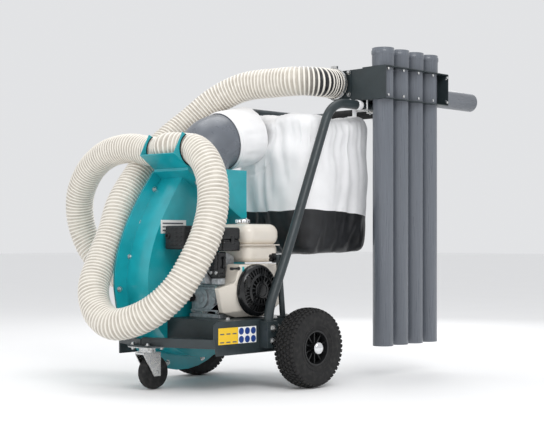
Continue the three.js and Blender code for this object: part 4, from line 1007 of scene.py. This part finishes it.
class LEAFVAC_OT_engine_block(PieceOperator):
    """Makes the engine's castings, intake, levers and small controls"""

    bl_idname = "leafvac.engine_block"
    bl_label = "Engine block"

    def execute(self, context):
        self.castings()
        self.intake()
        self.controls()
        dress("crankshaft", "zinc", body="rotor")
        dress("flywheel", "cast", body="rotor")
        return {"FINISHED"}

    def castings(self):
        """Crankcase with its side-cover screws and ribs, the finned head and the oil cap."""
        ribs = [cylinder((-30, -205, 300), (-30, -213, 300), 36, 40),
                cylinder((-30, -212, 300), (-30, -216, 300), 20, 32),
                block((-78, -215, 254), (60, -204, 260), 2.0, 3),
                block((-78, -212, 328), (60, -204, 338), 2.5, 3),
                cylinder((30, -205, 290), (30, -213, 290), 14, 32)]
        screws = [hex_bolt((x, -206, z), (0, -1, 0), 10, 5)
                  for x, z in ((-72, 252), (-20, 252), (50, 252), (-72, 338), (50, 338))]
        dress("engine_crankcase", "cast", width=2.4 * MM, extra=ribs)
        put(combine(*screws), "crankcase_screws", "zinc", "machine")
        dress("cylinder_head", "cast", width=1.0 * MM)
        cap = combine(cylinder((-62, -216.3, 300), (-62, -226, 300), 13, 28),
                      around(12, lambda a: cylinder((-62 + 12 * math.cos(a), -217, 300 + 12 * math.sin(a)),
                                                    (-62 + 12 * math.cos(a), -231, 300 + 12 * math.sin(a)),
                                                    2.6, 8)),
                      cylinder((-62, -226, 300), (-62, -238, 300), 11.5, 28))
        soften(put(cap, "oil_filler_cap", "black", "oil_cap", ["oil_cap"]), 0.8 * MM)

    def intake(self):
        """Carburettor body, intake housing with two cross-head screws, and the spark lead."""
        body = combine(rounded((57, -245, 348.5), (95, -209, 369.5), 7, 2.5),
                       cylinder((76, -246, 359), (76, -240, 359), 7, 20))
        put(body, "carburettor_body", "cast", "machine", ["carburettor"])
        housing = combine(rounded((56, -249, 371), (99, -209, 458), 9, 4),
                          block((58, -251, 376), (97, -247, 400), 1.5, 3))
        soften(put(housing, "intake_housing", "gloss_black", "machine", ["intake_elbow"]), 0.5 * MM)
        screws = []
        for x in (65, 91):
            screws.append(cylinder((x, -251, 388), (x, -253.4, 388), 6.2, 24, 5.4))
            screws.append(block((x - 3.6, -254.2, 387.2), (x + 3.6, -253.2, 388.8)))
            screws.append(block((x - 0.8, -254.2, 384.4), (x + 0.8, -253.2, 391.6)))
        put(combine(*screws), "intake_screws", "zinc", "machine")
        lead = Route(filled_line(polyline(
            [(-20, -276, 405), (-20, -306, 418), (40, -300, 440), (52, -240, 372), (52, -170, 352)],
            {1: 14, 2: 26, 3: 20}), 0.003))
        put(combine(tube_on(lead, 3.5, 60, 14), cylinder((-20, -270, 402), (-20, -298, 414), 8.5, 20, 7)),
            "spark_lead", "rubber", "machine")

    def controls(self):
        """Choke, fuel and throttle levers and the ignition switch."""
        for node, body in (("choke_lever", "choke"), ("fuel_lever", "fuel_valve"),
                           ("throttle_lever", "throttle")):
            dress(node, "black", body=body, width=0.7 * MM)
        switch = combine(cylinder((130.4, 8, 384), (136, 8, 384), 11, 32),
                         block((135, 4.6, 374), (146, 11.4, 394), 2.0, 3))
        soften(put(switch, "ignition_knob", "gloss_black", "ignition_switch",
                   ["engine_switch"]), 0.5 * MM)


class LEAFVAC_OT_engine_covers(PieceOperator):
    """Makes the fan shroud, recoil starter, fuel tank, air cleaner and exhaust guard"""

    bl_idname = "leafvac.engine_covers"
    bl_label = "Engine covers"

    def execute(self, context):
        soften(put(self.shroud(), "fan_shroud", "engine", "machine", ["engine_shroud"]),
               4.0 * MM, 3, 14)
        soften(put(self.recoil(), "recoil_starter", "gloss_black", "machine", ["recoil_cover"]),
               0.5 * MM)
        grip = combine(rounded((169, -191, 338.5), (183, -177, 377.5), 6.5, 3),
                       cylinder((159, -184, 358), (172, -184, 358), 3.6, 16))
        soften(put(grip, "starter_handle", "gloss_black", "starter_grip", ["recoil_grip"]),
               0.4 * MM)
        self.tank()
        self.air_cleaner()
        self.exhaust_guard()
        return {"FINISHED"}

    def shroud(self):
        """Pressed cover whose sides draw in towards its flat face, with one broad lower facet."""
        low, shoulder, high = 72, 92, 130
        foot = [(-243, 335), (-222, 252), (-166, 234.5), (-50, 234.5), (30, 280), (36, 400),
                (20, 416), (-184, 416), (-197, 352)]
        face = [(-206, 352), (-150, 262), (-118, 238), (-50, 237), (27, 283), (33, 398),
                (18, 414), (-180, 414), (-194, 366)]
        shape = prism(foot, low, shoulder)
        outer = max(shape.faces, key=lambda f: f.calc_center_median().x)
        grown = bmesh.ops.extrude_face_region(shape, geom=[outer])
        tops = [item for item in grown["geom"] if isinstance(item, bmesh.types.BMVert)]
        marks = [place(shoulder, y, z) for y, z in foot]
        for vert in tops:
            number = min(range(len(marks)), key=lambda i: (marks[i] - vert.co).length)
            vert.co = place(high, *face[number])
        if outer.is_valid:
            bmesh.ops.delete(shape, geom=[outer], context="FACES_ONLY")
        bmesh.ops.recalc_face_normals(shape, faces=shape.faces)
        return shape

    def recoil(self):
        """Round cover: two rings of radial slots between plain bands, over a black backing disc."""
        y, z, back = CRANK_Y, CRANK_Z - 2, 130.3
        bands = [
            [(80, 0), (88, 0), (88, 12), (84, 19), (79, 24), (76, 25.5), (74, 24), (78, 15)],
            [(47, 22), (56, 22), (56, 30), (52, 31.6), (47, 32.4)],
            [(0, 22), (31, 22), (31, 34), (28, 35), (22, 35), (20, 33.6), (0, 33.6)]]
        parts = [turned(band, "X", back, y, z, 64, closed=band[0][0] > 0) for band in bands]
        parts.append(turned([(0, 8), (80, 8), (80, 11), (70, 20), (50, 22.5), (0, 22.5)],
                            "X", back, y, z, 64))
        for count, inner, outer, low, high in ((18, 30, 48, 21, 32.6), (34, 55, 78, 15, 28)):
            for i in range(count):
                rib = bmesh.new()
                bmesh.ops.create_cube(rib, size=1.0)
                for vert in rib.verts:
                    if vert.co.z > 0 and vert.co.x > 0:
                        vert.co.x -= 0.14 if inner < 40 else 0.26
                rib.transform(
                    Matrix.Translation(place(back, y, z)) @ Matrix.Rotation(math.tau * i / count, 4, "X")
                    @ Matrix.Translation(Vector(((low + high) / 2, 0, (inner + outer) / 2)) * MM)
                    @ Matrix.Diagonal(((high - low) * MM, 4.2 * MM, (outer - inner) * MM, 1)))
                parts.append(rib)
        return combine(*parts)

    def tank(self):
        """Two pressed halves joined by a lip, with the filler neck and its ridged cap."""
        upper = rounded((-58, -122, 478), (108, 48, 553), 36, 32, 12)
        lower = rounded((-54, -118, 421), (104, 44, 484), 32, 18, 12)
        body = combine(upper, lower, rounded((-65, -129, 478.5), (115, 55, 482), 40, 1.4, 12),
                       turned([(0, 546), (24, 546), (22, 555), (19, 557), (0, 557)],
                              "Z", FILLER_X, FILLER_Y, 0, 40))
        put(body, "petrol_tank", "engine", "machine", ["fuel_tank"], sharp=40)
        disc = turned([(0, 557.4), (24.6, 557.4), (25, 560), (25, 566), (22.5, 570), (16, 571.5),
                       (12, 570.4), (0, 570.4)], "Z", FILLER_X, FILLER_Y, 0, 48)
        rim = 23.4
        ridges = around(16, lambda a: cylinder(
            (FILLER_X + rim * math.cos(a), FILLER_Y + rim * math.sin(a), 558),
            (FILLER_X + rim * math.cos(a), FILLER_Y + rim * math.sin(a), 568.5), 2.6, 8))
        bar = block((-13, -48, 565), (29, -42, 575), 2.0, 3)
        put(combine(disc, ridges, bar), "filler_cap", "chrome", "fuel_cap", ["fuel_cap"], 40)

    def air_cleaner(self):
        """Moulded air cleaner: tray, lid with a parting groove, and two clips."""
        tray = rounded((20, -240, 460.4), (115, -155, 494), 14, 5)
        neck = rounded((23, -237, 493), (112, -158, 498), 12, 0.6)
        lid = rounded((20, -240, 497), (115, -155, 540), 16, 9)
        clips = [block((60, -242, 484), (78, -238.5, 512), 1.2, 2),
                 block((113.5, -206, 484), (116.5, -188, 512), 1.2, 2)]
        put(combine(tray, neck, lid, *clips), "air_cleaner_box", "gloss_black", "machine",
            ["air_cleaner"], 40)

    def exhaust_guard(self):
        """Pressed guard over the silencer, with rows of louvres and the tail pipe's ring."""
        guard = rounded((-88, -325, 466), (10, -236, 546), 12, 6)
        louvres = [block((-62 + 24 * i, -327.4, 478 + 14 * k), (-46 + 24 * i, -323.5, 484 + 14 * k), 1.6, 2)
                   for i in range(3) for k in range(5) if not (i == 0 and 1 < k < 4)]
        sides = [block((8.6, -312 + 17 * i, 478 + 14 * k), (12, -300 + 17 * i, 484 + 14 * k), 1.4, 2)
                 for i in range(4) for k in range(5)]
        ring = turned([(6, -330), (9.5, -330), (11, -327), (11, -318), (6, -318)], "Y", -68, 0, 512, 28,
                      closed=True)
        put(combine(guard, *louvres, *sides, ring), "exhaust_guard", "heat_black", "machine",
            ["muffler_guard"], 40)


class LEAFVAC_OT_handle(PieceOperator):
    """Makes the bent push handle with its brace, brackets, knob and foam grip"""

    bl_idname = "leafvac.handle"
    bl_label = "Push handle"

    def execute(self, context):
        left, right, rear, high, corner = HANDLE_X, -265, 600, HANDLE_Z, 90
        corners = [(left, -121, 150), (left, -121, 262), (left, -8, 503), (left, 197, high),
                   (left, rear, high), (right, rear, high), (right, 197, high), (right, 18, 585),
                   (right, -44, 424)]
        bends = {1: 47, 2: 88, 3: 78, 4: corner, 5: corner, 6: 78, 7: 10}
        route = Route(filled_line(polyline(corners, bends, 12), 0.012))
        put(tube_on(route, 16.5, 330, 28), "handle_bar", "frame", "machine", ["handle_tube"],
            sharp=50)
        brace = combine(cylinder((179.5, -44, 448), (179.5, -22, 236.5), 10, 28),
                        block((170.5, -42, 233.3), (185.5, 0, 239.3), 1.0, 2))
        soften(put(brace, "handle_strut", "frame", "machine", ["handle_brace"]), 0.8 * MM)
        dress("handle_bracket_left", "frame", width=1.5 * MM)
        dress("handle_bracket_right", "frame", width=1.5 * MM)
        bolts = [hex_bolt((228.5, -121, z), (1, 0, 0), 15, 7) for z in (162, 203)]
        put(combine(*bolts), "handle_foot_bolts", "zinc", "machine")
        star = around(5, lambda a: cylinder(
            (148.4, -44 + 11 * math.cos(a), 436 + 11 * math.sin(a)),
            (162, -44 + 11 * math.cos(a), 436 + 11 * math.sin(a)), 6.2, 20))
        knob = combine(star, cylinder((148, -44, 436), (162.5, -44, 436), 12.5, 28),
                       cylinder((161, -44, 436), (168.6, -44, 436), 8, 24))
        soften(put(knob, "clamp_star_knob", "gloss_black", "clamp_knob", ["handle_knob"]),
               1.0 * MM)
        ribs = [(16.9, 0), (20.4, 0)]
        for i in range(40):
            ribs += [(21, 1.5 + 6 * i), (21, 4.5 + 6 * i), (20.3, 5.2 + 6 * i), (20.3, 6.6 + 6 * i)]
        ribs += [(20.4, 242), (16.9, 242)]
        put(turned(ribs, "X", -150, rear, high, 36, closed=True), "foam_grip", "rubber", "machine",
            ["handle_grip"], sharp=50)
        return {"FINISHED"}


class LEAFVAC_OT_pipes(PieceOperator):
    """Makes the four spare pipes with their sockets, and the level suction pipe"""

    bl_idname = "leafvac.pipes"
    bl_label = "Pipes"

    def execute(self, context):
        top = span("stored_pipe_1")[1].z
        for i in range(4):
            y = 399 + 88 * i
            shoulder, bottom = top - 69, top - 1075
            profile = [(34.9, bottom), (36.8, bottom), (37.5, bottom + 0.8), (37.5, shoulder - 4),
                       (38.4, shoulder), (40, shoulder + 1.2), (40.5, shoulder + 4), (40.5, top - 26),
                       (41.4, top - 24.5), (42.7, top - 21), (43, top - 15.5), (42.7, top - 11),
                       (41.4, top - 7.5), (40.5, top - 6), (40.5, top - 0.8), (39.6, top), (37.9, top),
                       (37.9, shoulder + 7), (34.9, shoulder + 3)]
            shape = turned(profile, "Z", 280, y, 0, 56, closed=True)
            put(shape, f"spare_pipe_{i + 1}", "pipe", f"extension_pipe_{i + 1}",
                [f"stored_pipe_{i + 1}"], sharp=50)
        start, end = 350, 1178
        profile = [(34.9, start), (37.5, start), (37.5, end - 1), (36.8, end), (35.4, end), (34.9, end - 0.6)]
        put(turned(profile, "Y", LANCE_X, 0, LANCE_Z, 56, closed=True), "level_pipe", "lance", "nozzle_pipe",
            ["suction_pipe"], sharp=50)
        return {"FINISHED"}


class LEAFVAC_OT_rack(PieceOperator):
    """Makes the pipe rack, its clamps and the hose flange"""

    bl_idname = "leafvac.rack"
    bl_label = "Pipe rack"

    def execute(self, context):
        dress("pipe_rack", "frame", width=1.0 * MM)
        dress("hose_flange", "frame", width=0.8 * MM)
        for node in ("rack_clamp_1", "rack_clamp_2"):
            dress(node, "zinc", width=0.7 * MM)
        bolts = [hex_bolt((LANCE_X + dx, 341.7, LANCE_Z + dz), (0, -1, 0), 10, 5)
                 for dx in (-46, 49) for dz in (-40, 40)]
        bolts += [hex_bolt((336, y, z), (1, 0, 0), 9, 4, washer=False)
                  for y in (357, 445, 533, 621, 711) for z in (1015, 1108)]
        put(combine(*bolts), "rack_screws", "zinc", "machine")
        return {"FINISHED"}


def cloth_map(shape):
    """Writes a UV map in metres, each face laid out from the side that it looks towards."""
    layer = shape.loops.layers.uv.verify()
    shape.normal_update()
    for face in shape.faces:
        away = [abs(value) for value in face.normal]
        first, second = {0: (1, 2), 1: (0, 2), 2: (0, 1)}[away.index(max(away))]
        for loop in face.loops:
            loop[layer].uv = (loop.vert.co[first], loop.vert.co[second])


BAG_LOW, BAG_HIGH = (-212, 122, 468), (166, 485, 955)
HEM_Z, HEM_SLOPE = 592, 0.05
CLOTH_STEPS = 25
MOST_MOVE = 0.022  # metres that the simulation may move any point


class LEAFVAC_OT_filter_bag(PieceOperator):
    """Makes the cloth filter bag, its sleeve over the elbow and its hanging straps"""

    bl_idname = "leafvac.filter_bag"
    bl_label = "Filter bag"

    def execute(self, context):
        bag = self.crease(self.inflate(rounded(BAG_LOW, BAG_HIGH, 60, 46, 6)))
        hem = place(0, 0, HEM_Z).z
        bmesh.ops.bisect_plane(bag, geom=bag.verts[:] + bag.edges[:] + bag.faces[:],
                               plane_co=(0, 0, hem), plane_no=(0, HEM_SLOPE, 1))
        for face in bag.faces:
            centre = face.calc_center_median()
            face.material_index = 1 if centre.z + HEM_SLOPE * centre.y < hem else 0
        for vert in bag.verts:
            near = max(0.0, 1 - abs(vert.co.z - hem) / 0.12)
            vert.co.z += near * 0.014 * noise.noise(vert.co * 7)
        whole = combine(bag, self.sleeve(), self.strap(334, 356), self.strap(470, 488))
        cloth_map(whole)
        made = put(whole, "cloth_bag", ["cloth", "coated"], "machine", ["filter_bag"], sharp=80)
        return {"FINISHED"}

    def inflate(self, shape):
        mesh = bpy.data.meshes.new("bag_start")
        shape.to_mesh(mesh)
        shape.free()
        bag = bpy.data.objects.new("bag_start", mesh)
        scene = bpy.context.scene
        scene.collection.objects.link(bag)
        even = bag.modifiers.new("even", "REMESH")
        even.mode = "VOXEL"
        even.voxel_size = 0.011
        self.settle(bag)
        start = [vert.co.copy() for vert in bag.data.vertices]
        held = bag.vertex_groups.new(name="held")
        top = place(0, 0, 925).z
        mouth = place(-138, 122, 880)
        for vert in bag.data.vertices:
            if (vert.co - mouth).length < 0.12 or (vert.co.z > top and abs(vert.co.x) < 0.16):
                held.add([vert.index], 0.7, "REPLACE")
        cloth = bag.modifiers.new("cloth", "CLOTH")
        cloth.settings.quality = 5
        cloth.settings.mass = 0.2
        cloth.settings.use_pressure = True
        cloth.settings.uniform_pressure_force = 1.6
        cloth.settings.shrink_min = -sizes().bag_slack
        cloth.settings.shrink_max = -sizes().bag_slack
        cloth.settings.bending_stiffness = 0.12
        cloth.settings.vertex_group_mass = "held"
        cloth.settings.effector_weights.gravity = 0.35
        for step in range(1, CLOTH_STEPS + 1):
            scene.frame_set(step)
        self.settle(bag)
        scene.frame_set(1)
        for vert, first in zip(bag.data.vertices, start):
            moved = vert.co - first
            if moved.length > MOST_MOVE:
                vert.co = first + moved * MOST_MOVE / moved.length
        made = bmesh.new()
        made.from_mesh(bag.data)
        bpy.data.objects.remove(bag)
        bmesh.ops.smooth_vert(made, verts=made.verts, factor=0.4, use_axis_x=True, use_axis_y=True,
                              use_axis_z=True)
        return made

    def settle(self, bag):
        """Applies the bag's modifiers to its mesh."""
        seen = bag.evaluated_get(bpy.context.evaluated_depsgraph_get())
        settled = bpy.data.meshes.new_from_object(seen)
        bag.modifiers.clear()
        bag.data = settled

    def crease(self, bag):
        """Adds the broad folds that fan out from the sleeve, and the round seam about it."""
        bmesh.ops.subdivide_edges(bag, edges=bag.edges[:], cuts=1, use_grid_fill=True, smooth=0.4)
        bag.normal_update()
        mouth = place(-138, 105, 877)
        for vert in bag.verts:
            away = vert.co - mouth
            reach = away.length
            turn = math.atan2(away.z, away.x)
            fan = math.sin(turn * 9 + 3 * noise.noise(vert.co * 5)) * math.exp(-((reach - 0.3) / 0.2) ** 2)
            long_folds = noise.noise(Vector((vert.co.x * 9, vert.co.y * 9, vert.co.z * 2.2)))
            small = noise.noise(vert.co * 22)
            depth = 0.0065 * fan + 0.012 * long_folds + 0.0025 * small - 0.004
            ring = math.hypot(away.x, away.z)
            if vert.co.y < place(0, 165, 0).y:
                depth -= 0.004 * math.exp(-((ring - 0.14) / 0.005) ** 2)
            vert.co += vert.normal * depth
        bag.normal_update()
        return bag

    def sleeve(self):
        """Gathered sleeve that ties the bag over the elbow."""
        outside = [(101.5, 15), (103.2, 13.5), (105.4, 15)]
        outside += [(104.5, 15 + 135 * i / 30) for i in range(1, 31)]
        inside = [(102.2, 150), (101.5, 90)]
        shape = lathe(outside + inside, 96, closed=True)
        for vert in shape.verts:
            radius = math.hypot(vert.co.x, vert.co.y)
            if radius > 0.1035:
                turn = math.atan2(vert.co.y, vert.co.x)
                fold = noise.noise(Vector((math.cos(turn) * 5, math.sin(turn) * 5, vert.co.z * 14)))
                grow = 1 + (0.0028 + 0.0035 * fold) / radius * min(1.0, (vert.co.z - 0.014) / 0.02)
                vert.co.x *= grow
                vert.co.y *= grow
        band = lathe([(103, 24), (107.5, 24), (108, 28), (107.5, 46), (103, 46)], 72, closed=True)
        shape = combine(shape, band)
        lean = ELBOW_WAY.to_track_quat("Z", "Y").to_matrix().to_4x4()
        shape.transform(Matrix.Translation(place(ELBOW_X, -28, 849)) @ lean)
        return shape

    def strap(self, start, end):
        """Cloth loop round the handle's near tube, sewn to the top of the bag."""
        loop = turned([(16.8, start), (18.4, start), (18.4, end), (16.8, end)],
                      "Y", HANDLE_X, 0, HANDLE_Z, 40, closed=True)
        tail = block((166, start, 944), (191.5, end, 946), 0.6, 2)
        rise = block((189.6, start, 944), (191.4, end, 984), 0.6, 2)
        return combine(loop, tail, rise)


class LEAFVAC_OT_labels(PieceOperator):
    """Makes the plain label panels"""

    bl_idname = "leafvac.labels"
    bl_label = "Labels"

    def execute(self, context):
        self.panel("yellow_label", (190.2, -336, 158), (191.0, -247, 212), "label_yellow")
        self.panel("white_label", (190.2, -246, 158), (191.0, -162, 212), "label_white")
        discs = [cylinder((190.8, -232 + 28 * i, 171 + 27 * k),
                          (191.3, -232 + 28 * i, 171 + 27 * k), 11.5, 32)
                 for i in range(3) for k in range(2)]
        put(combine(*discs), "plain_discs", "label_blue", "machine")
        bars = [block((190.9, -328 + 28 * i, 163 + 27 * k), (191.3, -310 + 28 * i, 167 + 27 * k))
                for i in range(3) for k in range(2)]
        put(combine(*bars), "plain_bars", "label_grey", "machine")
        self.panel("side_label", (-99.8, -330, 520), (-99.2, -215, 566), "label_white")
        stripes = [block((-99.3, -322, 528 + 12 * k), (-98.9, -245 + 8 * k, 533 + 12 * k)) for k in range(3)]
        put(combine(*stripes), "side_label_bars", "label_grey", "machine")
        self.panel("shroud_label", (130.1, -168, 388), (130.6, -158, 408), "label_teal")
        return {"FINISHED"}

    def panel(self, name, low, high, look):
        """A thin film panel with rounded corners."""
        put(block(low, high, 0.3, 1), name, look, "machine")


PIECES = (
    LEAFVAC_OT_stage, LEAFVAC_OT_suction_hose, LEAFVAC_OT_wheels, LEAFVAC_OT_caster,
    LEAFVAC_OT_chassis, LEAFVAC_OT_fan_housing, LEAFVAC_OT_outlet, LEAFVAC_OT_engine_block,
    LEAFVAC_OT_engine_covers, LEAFVAC_OT_handle, LEAFVAC_OT_pipes, LEAFVAC_OT_rack,
    LEAFVAC_OT_filter_bag, LEAFVAC_OT_labels,
)


class LEAFVAC_PT_pieces(bpy.types.Panel):
    """Lists the machine's pieces, its sizes and its colours"""

    bl_label = "Leaf Vacuum"
    bl_space_type = "VIEW_3D"
    bl_region_type = "UI"
    bl_category = "Leaf Vacuum"

    def draw(self, context):
        layout = self.layout
        for settings in (context.scene.leaf_vacuum_sizes, context.scene.leaf_vacuum_colours):
            box = layout.box()
            for name in settings.bl_rna.properties.keys():
                if name not in {"rna_type", "name"}:
                    box.prop(settings, name)
        column = layout.column()
        for piece in PIECES:
            column.operator(piece.bl_idname)


CLASSES = (LeafVacuumSizes, LeafVacuumColours, *PIECES, LEAFVAC_PT_pieces)


def register():
    """Adds the classes, and the sizes and colours, to Blender."""
    for item in CLASSES:
        bpy.utils.register_class(item)
    bpy.types.Scene.leaf_vacuum_sizes = bpy.props.PointerProperty(type=LeafVacuumSizes)
    bpy.types.Scene.leaf_vacuum_colours = bpy.props.PointerProperty(type=LeafVacuumColours)


def unregister():
    """Takes them out again."""
    del bpy.types.Scene.leaf_vacuum_colours
    del bpy.types.Scene.leaf_vacuum_sizes
    for item in reversed(CLASSES):
        bpy.utils.unregister_class(item)


def main():
    """Registers the classes and makes every piece in order."""
    register()
    for piece in PIECES:
        group, name = piece.bl_idname.split(".")
        result = getattr(getattr(bpy.ops, group), name)()
        if result != {"FINISHED"}:
            raise RuntimeError(f"{piece.bl_label} was not made")


if __name__ == "__main__":
    main()
